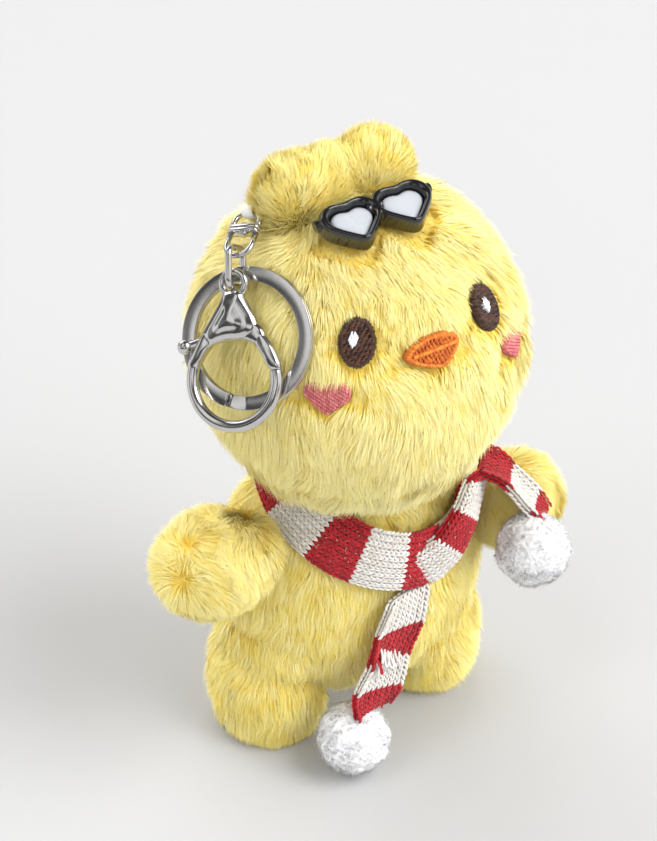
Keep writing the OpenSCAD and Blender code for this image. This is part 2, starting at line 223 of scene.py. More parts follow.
def pillow(outline, z0, z1, flat=0.7, dome=0.12):
    """A closed slab with rolled edges and slightly domed faces, from a roughly convex outline."""
    o = np.asarray(outline, float)
    c = o.mean(0)
    m, h = (z0 + z1) / 2, (z1 - z0) / 2
    prof = [(0.01, -1 - dome), (flat * 0.6, -1 - dome * 0.7)]
    prof += [(flat + (1 - flat) * math.cos(a), math.sin(a)) for a in np.radians(np.linspace(-90, 90, 9))]
    prof += [(flat * 0.6, 1 + dome * 0.7), (0.01, 1 + dome)]
    return loft([np.c_[c + (o - c) * k, np.full(len(o), m + h * z)] for k, z in prof])


# Materials ---------------------------------------------------------------------------------

def material(name, base, other=None, scale=60.0, rough=0.8, metal=0.0, sheen=0.0, coat=0.0,
             bump=0.0, bump_scale=300.0, rough_span=0.12):
    """A node material. With other, the colour is a noise between the two; without it the colour is
    one tint of many on a piece and the noise drives only the roughness."""
    m = bpy.data.materials.new(name)
    m.use_nodes = True
    t = m.node_tree
    b = t.nodes["Principled BSDF"]
    b.inputs["Base Color"].default_value = (*base, 1)
    b.inputs["Metallic"].default_value = metal
    b.inputs["Sheen Weight"].default_value = sheen
    b.inputs["Coat Weight"].default_value = coat
    co = t.nodes.new("ShaderNodeTexCoord")
    noise = t.nodes.new("ShaderNodeTexNoise")
    noise.inputs["Scale"].default_value = scale
    noise.inputs["Detail"].default_value = 4
    t.links.new(co.outputs["Object"], noise.inputs["Vector"])
    ramp = t.nodes.new("ShaderNodeMapRange")
    ramp.inputs["To Min"].default_value = max(rough - rough_span, 0.02)
    ramp.inputs["To Max"].default_value = min(rough + rough_span, 1)
    t.links.new(noise.outputs["Fac"], ramp.inputs["Value"])
    t.links.new(ramp.outputs["Result"], b.inputs["Roughness"])
    if other is not None:
        mix = t.nodes.new("ShaderNodeMix")
        mix.data_type = "RGBA"
        mix.inputs["A"].default_value = (*base, 1)
        mix.inputs["B"].default_value = (*other, 1)
        t.links.new(noise.outputs["Fac"], mix.inputs["Factor"])
        t.links.new(mix.outputs["Result"], b.inputs["Base Color"])
    if bump:
        n2 = t.nodes.new("ShaderNodeTexNoise")
        n2.inputs["Scale"].default_value = bump_scale
        t.links.new(co.outputs["Object"], n2.inputs["Vector"])
        bp = t.nodes.new("ShaderNodeBump")
        bp.inputs["Strength"].default_value = bump
        bp.inputs["Distance"].default_value = 0.0003
        t.links.new(n2.outputs["Fac"], bp.inputs["Height"])
        t.links.new(bp.outputs["Normal"], b.inputs["Normal"])
    return m


def tints(name, colours, **looks):
    return [material("%s_%d" % (name, i), c, **looks) for i, c in enumerate(colours)]


YARN = dict(rough=0.85, sheen=0.2, bump=0.4, bump_scale=2500)
COAT = material("plush_backing", (0.95, 0.66, 0.08), (0.98, 0.78, 0.18), 350, 0.9, sheen=0.3,
                bump=0.6, bump_scale=900)
FILL = material("filling", (0.85, 0.84, 0.8), (0.95, 0.94, 0.92), 200, 0.95, bump=0.5)
# Deeper golden roots are painted shade of the pile's depths. Which tip tint, from golden to lemon, a hair
# gets is set in pile, partly by painted light and shade.
ROOTS = [material("pile_root_a", (0.97, 0.69, 0.09), rough=0.9),
         material("pile_root_b", (0.98, 0.76, 0.14), rough=0.9)]
TIPS = tints("pile_tip", [(0.98, 0.79, 0.16), (0.985, 0.83, 0.21), (0.99, 0.87, 0.3), (0.99, 0.9, 0.42)],
             rough=0.75, sheen=0.15)
RED = tints("yarn_red", [(0.40, 0.003, 0.011), (0.32, 0.002, 0.008), (0.48, 0.006, 0.018)], **YARN)
WHITE = tints("yarn_white", [(0.70, 0.67, 0.63), (0.65, 0.61, 0.56), (0.74, 0.72, 0.69)], **YARN)
WOOL = tints("wool", [(0.85, 0.85, 0.86), (0.82, 0.82, 0.85), (0.88, 0.88, 0.88), (0.85, 0.79, 0.8)],
             rough=0.95)
WOOL_CORE = material("wool_core", (0.84, 0.84, 0.86), (0.9, 0.9, 0.91), 300, 0.95, bump=0.2,
                     bump_scale=800)
BROWN = tints("thread_brown", [(0.06, 0.02, 0.009), (0.1, 0.034, 0.015), (0.026, 0.009, 0.005)],
              rough=0.45, sheen=0.1)
GLINT = tints("thread_white", [(0.9, 0.92, 0.97), (0.8, 0.84, 0.93)], rough=0.5)
ORANGE = tints("thread_orange", [(0.62, 0.15, 0.006), (0.52, 0.105, 0.005), (0.74, 0.25, 0.02)],
               rough=0.45, sheen=0.1)
PINK = tints("thread_pink", [(0.66, 0.17, 0.18), (0.58, 0.13, 0.14), (0.74, 0.25, 0.25)],
             rough=0.55, sheen=0.1)
BLACK = material("glasses_black", (0.004, 0.004, 0.005), (0.012, 0.012, 0.013), 80, 0.12, coat=0.6,
                 rough_span=0.05)
LENS = material("lens_pale", (0.46, 0.48, 0.52), (0.54, 0.56, 0.6), 60, 0.3, coat=0.3, rough_span=0.08)
STEEL = material("plated_metal", (0.56, 0.55, 0.54), (0.64, 0.63, 0.62), 90, 0.15, metal=1,
                 rough_span=0.05, bump=0.02, bump_scale=1200)
RIBBON = material("ribbon", (0.8, 0.79, 0.76), (0.9, 0.89, 0.87), 500, 0.8, bump=0.5, bump_scale=2500)
RED_CORE = material("knit_ground_red", (0.3, 0.002, 0.006), (0.42, 0.004, 0.01), 400, 0.9)
WHITE_CORE = material("knit_ground_white", (0.62, 0.58, 0.52), (0.72, 0.69, 0.63), 400, 0.9)
KNIT_MATS = RED + WHITE
PILE_MATS = ROOTS + TIPS

for name, o in frame["nodes"].items():
    if "stuffing" in name:
        kind = FILL
    elif name.startswith(("swivel", "chain", "clasp", "split")):
        kind = STEEL
    elif name == "hanging_loop":
        kind = RIBBON
    elif name.startswith("sunglasses_lens"):
        kind = LENS
    elif name == "sunglasses_frame":
        kind = BLACK
    else:
        kind = COAT
    o.data.materials.clear()
    o.data.materials.append(kind)


# Noise and clumps --------------------------------------------------------------------------

class Waves:
    """A smooth random vector field over space, from a few sine waves."""

    def __init__(self, size, seed, count=10):
        r = np.random.RandomState(seed)
        self.k = unit(r.randn(count, 3)) * (2 * math.pi / size) * r.uniform(0.6, 1.6, (count, 1))
        self.ph = r.uniform(0, 2 * math.pi, (count, 3))
        self.scale = 1.4 / math.sqrt(count)

    def __call__(self, p):
        return np.sin((p @ self.k.T)[:, :, None] + self.ph[None]).sum(1) * self.scale


def clump_of(p, size, seed):
    """The nearest of a jittered lattice of clump centres, and a random number for each clump."""
    cell = np.floor(p / size).astype(np.int64)
    best = np.full(len(p), 1e9)
    centre = np.zeros_like(p)
    tag = np.zeros(len(p))
    for off in np.ndindex(3, 3, 3):
        c = cell + np.array(off) - 1
        h = (c[:, 0] * 73856093) ^ (c[:, 1] * 19349663) ^ (c[:, 2] * 83492791) ^ (seed * 1013904223)
        j = np.stack([((h * m) >> 7) & 1023 for m in (1103515245, 69069, 22695477)], 1) / 1023.0
        q = (c + 0.15 + 0.7 * j) * size
        d = ((q - p) ** 2).sum(1)
        k = d < best
        best[k], centre[k], tag[k] = d[k], q[k], j[k, 0]
    return centre, tag


def surface_samples(ob, count, seed):
    """Random points on a mesh, spread by area, and the smooth normals there."""
    me = ob.data
    me.calc_loop_triangles()
    tri = np.empty(len(me.loop_triangles) * 3, np.int32)
    me.loop_triangles.foreach_get("vertices", tri)
    tri = tri.reshape(-1, 3)
    co = np.empty(len(me.vertices) * 3)
    me.vertices.foreach_get("co", co)
    co = co.reshape(-1, 3) * 1000 - SHIFT
    nn = np.empty(len(me.vertices) * 3)
    me.vertices.foreach_get("normal", nn)
    nn = nn.reshape(-1, 3)
    a, b, c = co[tri[:, 0]], co[tri[:, 1]], co[tri[:, 2]]
    area = np.linalg.norm(np.cross(b - a, c - a), axis=1)
    r = np.random.RandomState(seed)
    pick = np.searchsorted(np.cumsum(area) / area.sum(), r.rand(count))
    pick = np.minimum(pick, len(tri) - 1)
    u, v = r.rand(2, count)
    flip = u + v > 1
    u[flip], v[flip] = 1 - u[flip], 1 - v[flip]
    w = np.stack([1 - u - v, u, v], 1)
    t = tri[pick]
    p = (co[t] * w[:, :, None]).sum(1)
    return p, unit((nn[t] * w[:, :, None]).sum(1))


# Places that the pile keeps clear of -------------------------------------------------------

def head_frame(az, lat):
    """Right, up and outward on the head at an azimuth from the front and a latitude."""
    a, l = math.radians(az), math.radians(lat)
    n = np.array([math.sin(a) * math.cos(l), -math.cos(a) * math.cos(l), math.sin(l)])
    x = np.array([math.cos(a), math.sin(a), 0.0])
    return x, np.cross(n, x), n


def where_is(node):
    """Azimuth and latitude of a CAD node's middle as seen from the head's centre."""
    d = middle(node) - HC
    d /= np.linalg.norm(d)
    return math.degrees(math.atan2(d[0], -d[1])), math.degrees(math.asin(d[2]))


def inside(poly, q):
    """Even-odd test of points q (N, 2) in a polygon."""
    p = np.asarray(poly, float)
    r = np.roll(p, -1, 0)
    hit = np.zeros(len(q), bool)
    for (x0, y0), (x1, y1) in zip(p, r):
        if y0 == y1:
            continue
        crossing = (x1 - x0) * (q[:, 1] - y0) / (y1 - y0) + x0
        hit ^= ((y0 > q[:, 1]) != (y1 > q[:, 1])) & (q[:, 0] < crossing)
    return hit


def ellipse(rx, ry, n=48, cx=0.0, cy=0.0):
    t = np.arange(n) * 2 * math.pi / n
    return np.stack([cx + rx * np.cos(t), cy + ry * np.sin(t)], 1)


def heart(width, n=64, soft=3):
    """A heart outline of a given width, with its middle near the origin and a softened tip."""
    h = width / 3.56
    a = np.radians(np.linspace(141, -42, 24))
    half = np.stack([h * (0.78 + np.cos(a)), h * np.sin(a)], 1)
    p = np.vstack([half, [[0, -2.12 * h]], half[::-1] * [-1, 1]])
    s = np.concatenate([[0], np.cumsum(np.linalg.norm(np.diff(p, axis=0), axis=1))])
    at = np.arange(n) * s[-1] / n
    q = np.stack([np.interp(at, s, p[:, k]) for k in (0, 1)], 1) + [0, 0.53 * h]
    for _ in range(soft):
        q = (np.roll(q, 1, 0) + 2 * q + np.roll(q, -1, 0)) / 4
    return q


# Each patch of the face: right, up and outward on the head, and an outline in millimetres
BEAK = 0.96 * np.array([
    (-6.6, -0.5), (-5.6, 0.9), (-4.0, 2.0), (-1.8, 2.9), (0.6, 3.3), (3.2, 3.2), (5.4, 2.5), (6.7, 1.2),
    (6.2, -0.4), (5.0, -1.9), (3.4, -3.2), (1.7, -4.3), (0.6, -4.1), (-0.9, -3.7), (-3.0, -3.1),
    (-5.0, -2.0)])
patches = {}
for side, eye_turn, cheek_turn in (("right", 0, 0), ("left", 1.2, 3)):
    az, lat = where_is("eye_" + side)
    patches["eye_" + side] = (*head_frame(az + eye_turn, lat), ellipse(3.75, 5.15))
    az, lat = where_is("cheek_" + side)
    patches["cheek_" + side] = (*head_frame(az + cheek_turn, lat), heart(10.0) * [1, 0.84])
ub, lb = where_is("beak_upper"), where_is("beak_lower")
patches["beak"] = (*head_frame((ub[0] + lb[0]) / 2, (ub[1] + lb[1]) / 2 + 0.8), BEAK)
gx, gy, gn = head_frame(-9.3, 71.0)
roll = math.radians(11)
GLASSES = (gx * math.cos(roll) + gy * math.sin(roll), gy * math.cos(roll) - gx * math.sin(roll), gn)
HEART_X = 6.1

# The hardware in its own frame: x across it, y up the chain, z out of the head
LINK_X, LINK_Y, LINK_Z, LINK_LEN = -10.3, 8.9, 38.75, 8.15
RING_R, RING_Z, RING_TURN, RING_DROP = 13.5, 37.3, 10.7, 10.85
turn = math.radians(RING_TURN)
RING_C = np.array([LINK_X + RING_DROP * math.sin(turn), LINK_Y - RING_DROP * math.cos(turn)])
CLASP_O, CLASP_Z = np.array([-10.13, 9.91]), 40.2
HOOK_AT, HOOK_R = np.array([0.2, -20.3]), 9.7
HOOK_C = CLASP_O + HOOK_AT
CLASP_POLY = np.array([
    (-2.3, -0.2), (-4.6, -6.6), (-8.0, -12.2), (-10.9, -17.2), (-8.2, -18), (-6.0, -14.9), (-4.2, -13.2),
    (-2.4, -12.2), (-0.5, -11.8), (3.2, -11.9), (5.3, -10), (5.4, -8), (4.0, -5.4), (2.3, -0.2)])
GATE_POLY = np.array([(2.4, -7.6), (5.4, -8), (8.7, -12.75), (11.4, -18.9), (8.5, -19.2), (6.5, -14.6),
                      (3.4, -12), (0.6, -11.4)])


def metal_limit(p):
    """The height above the head's centre plane that the pile may reach at p, under the hardware."""
    q = (p - HC) @ CHAIN
    xy = q[:, :2]
    lim = np.full(len(p), 99.0)
    ring = np.abs(np.linalg.norm(xy - RING_C, axis=1) - RING_R) < 1.7
    lim[ring] = 36.2
    hook = np.abs(np.linalg.norm(xy - HOOK_C, axis=1) - HOOK_R) < 1.6
    c = xy - CLASP_O
    body = inside(CLASP_POLY * 1.05, c) | inside(GATE_POLY, c) | (np.linalg.norm(c, axis=1) < 3.2)
    lim[(hook | body) & ~ring] = 38.2
    link = (np.abs(xy[:, 0] - LINK_X) < 1.3) & (xy[:, 1] > 8) & (xy[:, 1] < 18)
    lim[link] = np.minimum(lim[link], 35.0)
    swivel = (np.abs(xy[:, 0] - LINK_X) < 3.9) & (xy[:, 1] >= 15) & (xy[:, 1] < 27)
    lim[swivel] = np.minimum(lim[swivel], 36.6 - 0.7 * (xy[swivel, 1] - 15))
    return lim, q[:, 2]


# The band of the scarf: a slice of a sphere of WRAP_R, tipped about x and y
WRAP_O = np.array([4.1, 2.2, 58.5])
ax_, ay_ = math.radians(27.9), math.radians(11.6)
RX = np.array([[1, 0, 0], [0, math.cos(ax_), -math.sin(ax_)], [0, math.sin(ax_), math.cos(ax_)]])
RY = np.array([[math.cos(ay_), 0, math.sin(ay_)], [0, 1, 0], [-math.sin(ay_), 0, math.cos(ay_)]])
WRAP = RY @ RX
WRAP_BACK, WRAP_DROP, WRAP_R, WRAP_H = 2.0, 10.7, 29.5, 12.0


def wrap_point(phi, h, out=0.0):
    """A point on the scarf's outer face: phi from the front, h above its lower edge."""
    r = np.sqrt(WRAP_R ** 2 - (h + WRAP_DROP) ** 2)
    n = np.stack([np.sin(phi) * r, -np.cos(phi) * r, h + WRAP_DROP], -1) / WRAP_R
    local = n * (WRAP_R + np.asarray(out)[..., None]) + np.array([0, WRAP_BACK, -WRAP_DROP])
    return local @ WRAP.T + WRAP_O


def under_scarf(p):
    """Where the band covers the plush, less a margin that hides its edges in pile."""
    q = (p - WRAP_O) @ WRAP
    r = np.hypot(q[:, 0], q[:, 1] - WRAP_BACK)
    return (q[:, 2] > 3.2) & (q[:, 2] < WRAP_H - 3.5) & (r < 27.6)


# Pile --------------------------------------------------------------------------------------

PER_PIECE = 62000  # hairs of three triangles each
BLADE = np.array([(0, 1, 3), (0, 3, 2), (2, 3, 4)])


def blades(root, mid, tip, w, narrow=1.0):
    """One flat hair to a row: a pair of points at its root, a pair half way and its tip."""
    return np.stack([root - w, root + w, mid - w * narrow, mid + w * narrow, tip], 1)


def blade_faces(count):
    return (BLADE[None] + np.arange(count)[:, None, None] * 5).reshape(-1, 3)


def pile(name, ob, body, count, flow, length, stand, seed, keep, clump=0.28, wild=0.24, width=0.18,
         pale=0.2, cut=None):
    """Grows leaning hairs of real length over ob: flow(p, n) is the way they lie, stand their rise,
    keep(p, n) the share of their length that they have at a place, and cut a height to stay under."""
    count = count
    width = width * 1.0
    p, n = surface_samples(ob, count, seed)
    r = np.random.RandomState(seed + 50)
    scale = keep(p, n)
    ok = scale > 0.05
    p, n, scale = p[ok], n[ok], scale[ok]
    f = flow(p, n) + Waves(14, seed + 1)(p) * 0.22 + Waves(5, seed + 2)(p) * 0.16
    f = unit(f - n * (f * n).sum(1, keepdims=True))
    centre, tag = clump_of(p, 2.0, seed)
    pull = centre - p
    pull = pull - n * (pull * n).sum(1, keepdims=True)
    rise = stand * (1 + 0.18 * Waves(9, seed + 3)(p)[:, :1]) * (0.5 + 0.5 * scale[:, None])
    d = unit(n * rise + f * (1 - 0.35 * stand) + r.randn(len(p), 3) * wild * 0.5)
    L = length * scale * r.uniform(0.62, 1.08, len(p)) * (0.9 + 0.2 * tag)
    tip_pull = pull * clump
    bend = f * 0.16 - n * 0.12
    if cut is not None:
        for s in (1.0, 0.8, 0.6, 0.4):
            lim, h = cut(p + d * (L * s)[:, None] + tip_pull * s)
            L = np.where(h > lim, L * (s - 0.18) / s, L)
    tip = p + (d + bend) * L[:, None] + tip_pull
    tip[:, 2] = np.maximum(tip[:, 2], 0.1)
    mid = p + d * (0.52 * L)[:, None] + tip_pull * 0.4
    mid[:, 2] = np.maximum(mid[:, 2], 0.15)
    side = unit(np.cross(d, n + r.randn(len(p), 3) * 0.35))
    soft = unit(n + 0.45 * unit(np.cross(side, d)) + 0.12 * r.randn(len(p), 3))
    w = (width * r.uniform(0.7, 1.25, len(p)))[:, None] * side / 2
    v = blades(p - n * 0.2, mid, tip, w, 0.8)
    # The tint of each hair: random by clump and by hair, plus painted shade and light. Short hairs, whose
    # tips sit deep in the pile, get deeper golden and long ones paler tips; pale lifts the tips most on
    # the head, which the key lamp lights.
    shade = (tag - 0.5) * 0.45 + (L / length - 0.55) * 1.1 + r.randn(len(p)) * 0.28 + pale
    shade = np.clip(shade, 0, 0.999)
    tip_m = len(ROOTS) + (shade * len(TIPS)).astype(int)
    root_m = (r.rand(len(p)) < 0.25 + 0.5 * shade).astype(int)
    mats = np.stack([root_m, root_m, tip_m], 1)
    order = np.argsort(np.arctan2(p[:, 0], -p[:, 1]), kind="stable")
    chunks = max(1, math.ceil(len(p) / PER_PIECE))
    for k, part in enumerate(np.array_split(order, chunks)):
        o = add_mesh(name + ("_%d" % (k + 1) if chunks > 1 else ""), v[part], blade_faces(len(part)),
                     PILE_MATS, mats[part].ravel(), normals=np.repeat(soft[part], 5, 0))
        fit(o, body, "plush_cover")


def lying_down(p, n):
    return np.tile([0.0, -0.22, -1.0], (len(p), 1))


# Head
head = Parts()
head.add(*sphere_mesh(HC, (HEAD_R,) * 3, 128, 64))
head_coat = head.make("head_coat", [COAT])
fit(head_coat, "plush", "plush_cover", "head_front_panel", "head_back_panel")


def head_keep(p, n):
    """Bare under the face's patches, short round them, under the sunglasses and at the neck."""
    k = np.ones(len(p))
    for x, y, nn, poly in patches.values():
        near = (n @ nn) > 0.9
        q = np.stack([(p[near] - HC) @ x, (p[near] - HC) @ y], 1)
        c = poly.mean(0)
        grown = inside(c + (poly - c) * 1.03, q)
        kk = k[near]
        above = q[:, 1] > c[1] - 1
        close = inside(c + (poly - c) * 1.6, q)
        kk[inside(c + (poly - c) * 2.2, q) & above] *= 0.75
        kk[close] *= np.where(above, 0.5, 0.9)[close]
        kk[grown] = 0
        k[near] = kk
    x, y, nn = GLASSES
    near = (n @ nn) > 0.85
    q = np.stack([(p[near] - HC) @ x, (p[near] - HC) @ y], 1)
    kk = k[near]
    for s in (-1, 1):
        kk[inside(heart(15.2) + np.array([s * HEART_X, -0.9]), q)] = 0.3
    k[near] = kk
    down = p[:, 2] < 80
    k[down & (np.hypot(p[:, 0], p[:, 1]) < 17)] = 0.3
    k[p[:, 2] < 70.6] = 0
    chin = (p[:, 1] < 4) & (p[:, 2] < 83)
    k[chin] *= 1.3
    return k


# The head's paler tips (pale=0.5) are painted light where the key lamp falls; the tuft, body and arms get
# less.
pile("pile_head", head_coat, "plush", 380000, lying_down, 6.0, 0.62, 11, head_keep, pale=0.5,
     cut=metal_limit)

# Crest
tuft = Parts()
for c, r in (((4.6, 3.4, 141.2), (7.2, 4.6, 7.2)), ((-13.6, 3.0, 140.2), (6.8, 4.6, 6.6)),
             ((-4.6, 3.2, 140.6), (10.5, 4.3, 6.0))):
    tuft.add(*sphere_mesh(c, r, 40, 20))
tuft_coat = remeshed("tuft_coat", tuft, 0.5, 6, [COAT])
fit(tuft_coat, "plush", "plush_cover", "tuft_cover")


def tuft_flow(p, n):
    c = np.where(p[:, :1] > -4.6, np.array([[4.6, 3.4, 136.0]]), np.array([[-13.6, 3.0, 136.0]]))
    return unit(p - c) + np.array([0, 0.1, 0.7])


def tuft_keep(p, n):
    return np.where(np.linalg.norm(p - HC, axis=1) < HEAD_R + 0.4, 0.0, 1.0)


pile("pile_tuft", tuft_coat, "plush", 80000, tuft_flow, 5.2, 0.95, 21, tuft_keep, clump=0.32,
     wild=0.28, pale=0.1)

# Body and legs
body = Parts()
body.add(*sphere_mesh((2, 6, 41), (30.5, 21.5, 32), 96, 48))
for s in (-1, 1):
    body.add(*sphere_mesh((1 + s * 21, 6.6, 13), (11.5, 13.5, 20), 64, 32))
    body.add(*sphere_mesh((1 + s * 17.2, 6.3, 28), (12.6, 15, 13), 48, 24))
body_coat = remeshed("body_coat", body, 0.8, 24, [COAT])
# Its feet are flat on the floor, and its neck follows the head
me = body_coat.data
co = np.empty(len(me.vertices) * 3)
me.vertices.foreach_get("co", co)
co = co.reshape(-1, 3)
co[:, 2] = np.maximum(co[:, 2], 0.0)
top = standing(co) - HC
far = np.linalg.norm(top, axis=1)
inner = far < HEAD_R - 0.5
co[inner] = ((HC + top[inner] * ((HEAD_R - 0.5) / far[inner])[:, None]) + SHIFT) / 1000
me.vertices.foreach_set("co", co.ravel())
me.update()
fit(body_coat, "plush", "plush_cover", "body_front_panel", "body_back_panel")


def body_keep(p, n):
    k = np.ones(len(p))
    k[under_scarf(p)] = 0
    k[np.linalg.norm(p - HC, axis=1) < HEAD_R + 0.2] = 0
    k[p[:, 2] < 0.4] = 0
    k[(np.abs(p[:, 0] - 1) < 9) & (p[:, 2] < 14)] *= 0.8
    return k


def body_flow(p, n):
    side = np.sign(p[:, :1] - 1) * np.array([[0.12, 0, 0]])
    return np.tile([0.0, -0.1, -1.0], (len(p), 1)) + side


pile("pile_body", body_coat, "plush", 330000, body_flow, 5.6, 0.6, 31, body_keep, pale=0.05)

# Arms
for side, centre, radii, root, hairs, seed in (
        ("right", (-39, -7, 61), (12.5, 9, 10), (-29.2, -1, 58.3), 76000, 41),
        ("left", (38.4, -7.3, 51.8), (9.3, 8.5, 9.2), (34.6, -5, 53), 56000, 45)):
    arm = Parts()
    arm.add(*sphere_mesh(centre, radii, 48, 24))
    arm.add(*sphere_mesh(root, (4.2,) * 3, 24, 12))
    mid = (np.array(centre) * 0.45 + np.array(root) * 0.55)
    arm.add(*sphere_mesh(mid, (6.2, 5.4, 5.8), 32, 16))
    coat = remeshed("arm_%s_coat" % side, arm, 0.5, 8, [COAT])
    fit(coat, "arm_" + side, "plush_cover", "arm_%s_cover" % side)
    away = unit(np.array(centre) - np.array(root) + np.array([0, 0, -1.0]))
    tip_at = np.array(centre) + away * np.array(radii)

    def arm_flow(p, n, away=away, tip_at=tip_at):
        near = np.exp(-((p - tip_at) ** 2).sum(1) / 90)[:, None]
        return away * (1 - near) * 0.6 + np.array([0, -0.15, -0.75]) + unit(p - tip_at) * near * 1.6

    pile("pile_arm_" + side, coat, "arm_" + side, hairs, arm_flow, 5.2, 0.66, seed,
         lambda p, n: np.where(under_scarf(p), 0.0, 1.0), pale=0.15)


# Embroidery --------------------------------------------------------------------------------

def stitches(parts, patch, a, b, level, width, lift, mats, sides=5, steps=5, sink=0.5):
    """Threads from a to b (N, 2) on a patch of the head: each dips into the cloth at its ends."""
    x, y, n, _ = patch
    t = np.linspace(0, 1, steps)[None, :, None]
    q = a[:, None] * (1 - t) + b[:, None] * t
    arch = np.sin(math.pi * t[..., 0])
    rad = level + lift * arch ** 0.6 - sink * (1 - arch ** 0.5)
    hgt = np.sqrt(np.maximum(rad ** 2 - (q ** 2).sum(2), 1))
    path = HC + q[..., :1] * x + q[..., 1:] * y + hgt[..., None] * n
    along = unit(b - a)
    across = -along[:, 1:2] * x + along[:, :1] * y
    ang = np.arange(sides) * 2 * math.pi / sides
    w = np.asarray(width).reshape(-1, 1, 1, 1) / 2
    ring = (np.cos(ang)[None, None, :, None] * across[:, None, None]
            + 0.8 * np.sin(ang)[None, None, :, None] * n)
    v = path[:, :, None] + ring * w
    parts.add(v, thread_quads(len(a), steps, sides), np.repeat(mats, (steps - 1) * sides))


def pad(parts, patch, level, edge, m=0, rings=8):
    """A domed backing over the patch's outline."""
    x, y, n, poly = patch
    c = poly.mean(0)
    v = []
    for s in np.linspace(0.01, 1, rings):
        q = c + (poly - c) * s
        rad = level + (edge - level) * s ** 3
        h = np.sqrt(rad ** 2 - (q ** 2).sum(1))
        v.append(HC + q[:, :1] * x + q[:, 1:] * y + h[:, None] * n)
    parts.add(np.vstack(v), ring_quads(rings, len(poly))[:, [0, 3, 2, 1]], m)


def fill_rows(poly, angle, pitch, length, jitter, r, margin=0.92):
    """Rows of short stitches that fill an outline: (starts, ends)."""
    c = poly.mean(0)
    small = c + (poly - c) * margin
    ca, sa = math.cos(angle), math.sin(angle)
    rot = np.array([[ca, sa], [-sa, ca]])
    loc = (small - c) @ rot.T
    lo_, hi_ = loc.min(0), loc.max(0)
    a, b = [], []
    for k, yy in enumerate(np.arange(lo_[1], hi_[1], pitch)):
        xs = np.arange(lo_[0] - length + (k % 3) * length / 3, hi_[0], length)
        for x0 in xs:
            s = x0 + r.uniform(-jitter, jitter)
            m = np.array([[s + length / 2, yy]])
            if inside(loc, m)[0]:
                a.append((s - 0.12, yy + r.uniform(-0.04, 0.04)))
                b.append((s + length + 0.12, yy + r.uniform(-0.04, 0.04)))
    back = np.array([[ca, -sa], [sa, ca]])
    return np.array(a) @ back.T + c, np.array(b) @ back.T + c


def rim(poly, wide, step, r, slant=0.25, margin=1.0):
    """Short stitches across an outline's edge: (starts, ends)."""
    closed = np.vstack([poly, poly[:1]])
    seg = np.linalg.norm(np.diff(closed, axis=0), axis=1)
    s = np.concatenate([[0], np.cumsum(seg)])
    at = np.arange(0, s[-1], step)
    q = np.stack([np.interp(at, s, closed[:, k]) for k in (0, 1)], 1)
    q2 = np.stack([np.interp((at + 0.05) % s[-1], s, closed[:, k]) for k in (0, 1)], 1)
    tang = unit(q2 - q + 1e-9)
    nrm = np.stack([tang[:, 1], -tang[:, 0]], 1)
    c = poly.mean(0)
    nrm *= np.sign(((q - c) * nrm).sum(1, keepdims=True))
    q = c + (q - c) * margin
    out = q + nrm * (0.15 + r.uniform(-0.1, 0.22, (len(q), 1)))
    inn = q - nrm * wide + tang * slant
    return inn, out


for side in ("right", "left"):
    r = np.random.RandomState(5 if side == "right" else 6)
    patch = patches["eye_" + side]
    e = Parts()
    pad(e, patch, 36.7, 35.0, 2)
    a, b = fill_rows(patch[3], 0.5 if side == "right" else -0.5, 0.36, 1.6, 0.3, r, 0.86)
    stitches(e, patch, a, b, 36.7, 0.42, 0.2, r.choice([0, 1, 1, 2], len(a)))
    a, b = rim(patch[3], 1.15, 0.3, r)
    stitches(e, patch, a, b, 36.65, 0.4, 0.25, r.choice([0, 0, 2], len(a)), sink=0.9)
    fit(e.make("eye_%s_embroidery" % side, BROWN), "plush", "eye_thread", "eye_" + side)
    g = Parts()
    dot = (*patch[:3], ellipse(1.0, 1.35, 24, -0.85, 0.6))
    pad(g, dot, 37.3, 36.4, 1)
    a, b = fill_rows(dot[3], 1.2, 0.3, 0.9, 0.1, r, 1.0)
    stitches(g, dot, a, b, 37.25, 0.36, 0.15, r.choice([0, 1], len(a)), sink=0.3)
    fit(g.make("eye_glint_%s_embroidery" % side, GLINT), "plush", "glint_thread", "eye_glint_" + side)
    patch = patches["cheek_" + side]
    e = Parts()
    pad(e, patch, 36.6, 35.0, 1)
    a, b = fill_rows(patch[3], math.pi / 2 + 0.06, 0.42, 0.85, 0.05, r, 0.95)
    stitches(e, patch, a, b, 36.6, 0.44, 0.22, r.choice([0, 0, 1, 2], len(a)), steps=4)
    a, b = rim(patch[3], 0.5, 0.34, r, 0.1, 0.98)
    stitches(e, patch, a, b, 36.5, 0.4, 0.12, r.choice([0, 1], len(a)), sink=0.7)
    fit(e.make("cheek_%s_embroidery" % side, PINK), "plush", "cheek_knit", "cheek_" + side)

r = np.random.RandomState(8)
patch = patches["beak"]
e = Parts()
pad(e, patch, 37.9, 35.4, 1)
a, b = fill_rows(patch[3], 1.25, 0.36, 1.3, 0.3, r, 0.86)
stitches(e, patch, a, b, 37.9, 0.42, 0.2, r.choice([0, 1, 1], len(a)))
a, b = rim(patch[3], 1.1, 0.3, r, 0.3)
stitches(e, patch, a, b, 37.8, 0.42, 0.35, r.choice([0, 0, 2], len(a)), sink=0.9)
xs = np.arange(-4.6, 5.4, 0.3)
line = np.stack([xs, 0.1 + 0.11 * xs], 1)
stitches(e, patch, line + [-0.25, -0.55], line + [0.25, 0.5], 38.05, 0.44, 0.35,
         r.choice([2, 2, 0], len(xs)), sink=0.3)
fit(e.make("beak_embroidery", ORANGE), "plush", "beak_thread", "beak_upper", "beak_lower")


# Sunglasses --------------------------------------------------------------------------------

def to_glasses(v):
    x, y, n = GLASSES
    v = np.asarray(v, float)
    return HC + v[:, :1] * x + v[:, 1:2] * y + v[:, 2:] * n


def bar(p0, p1, r, sides=20):
    return tube(np.linspace(p0, p1, 8), r, sides)


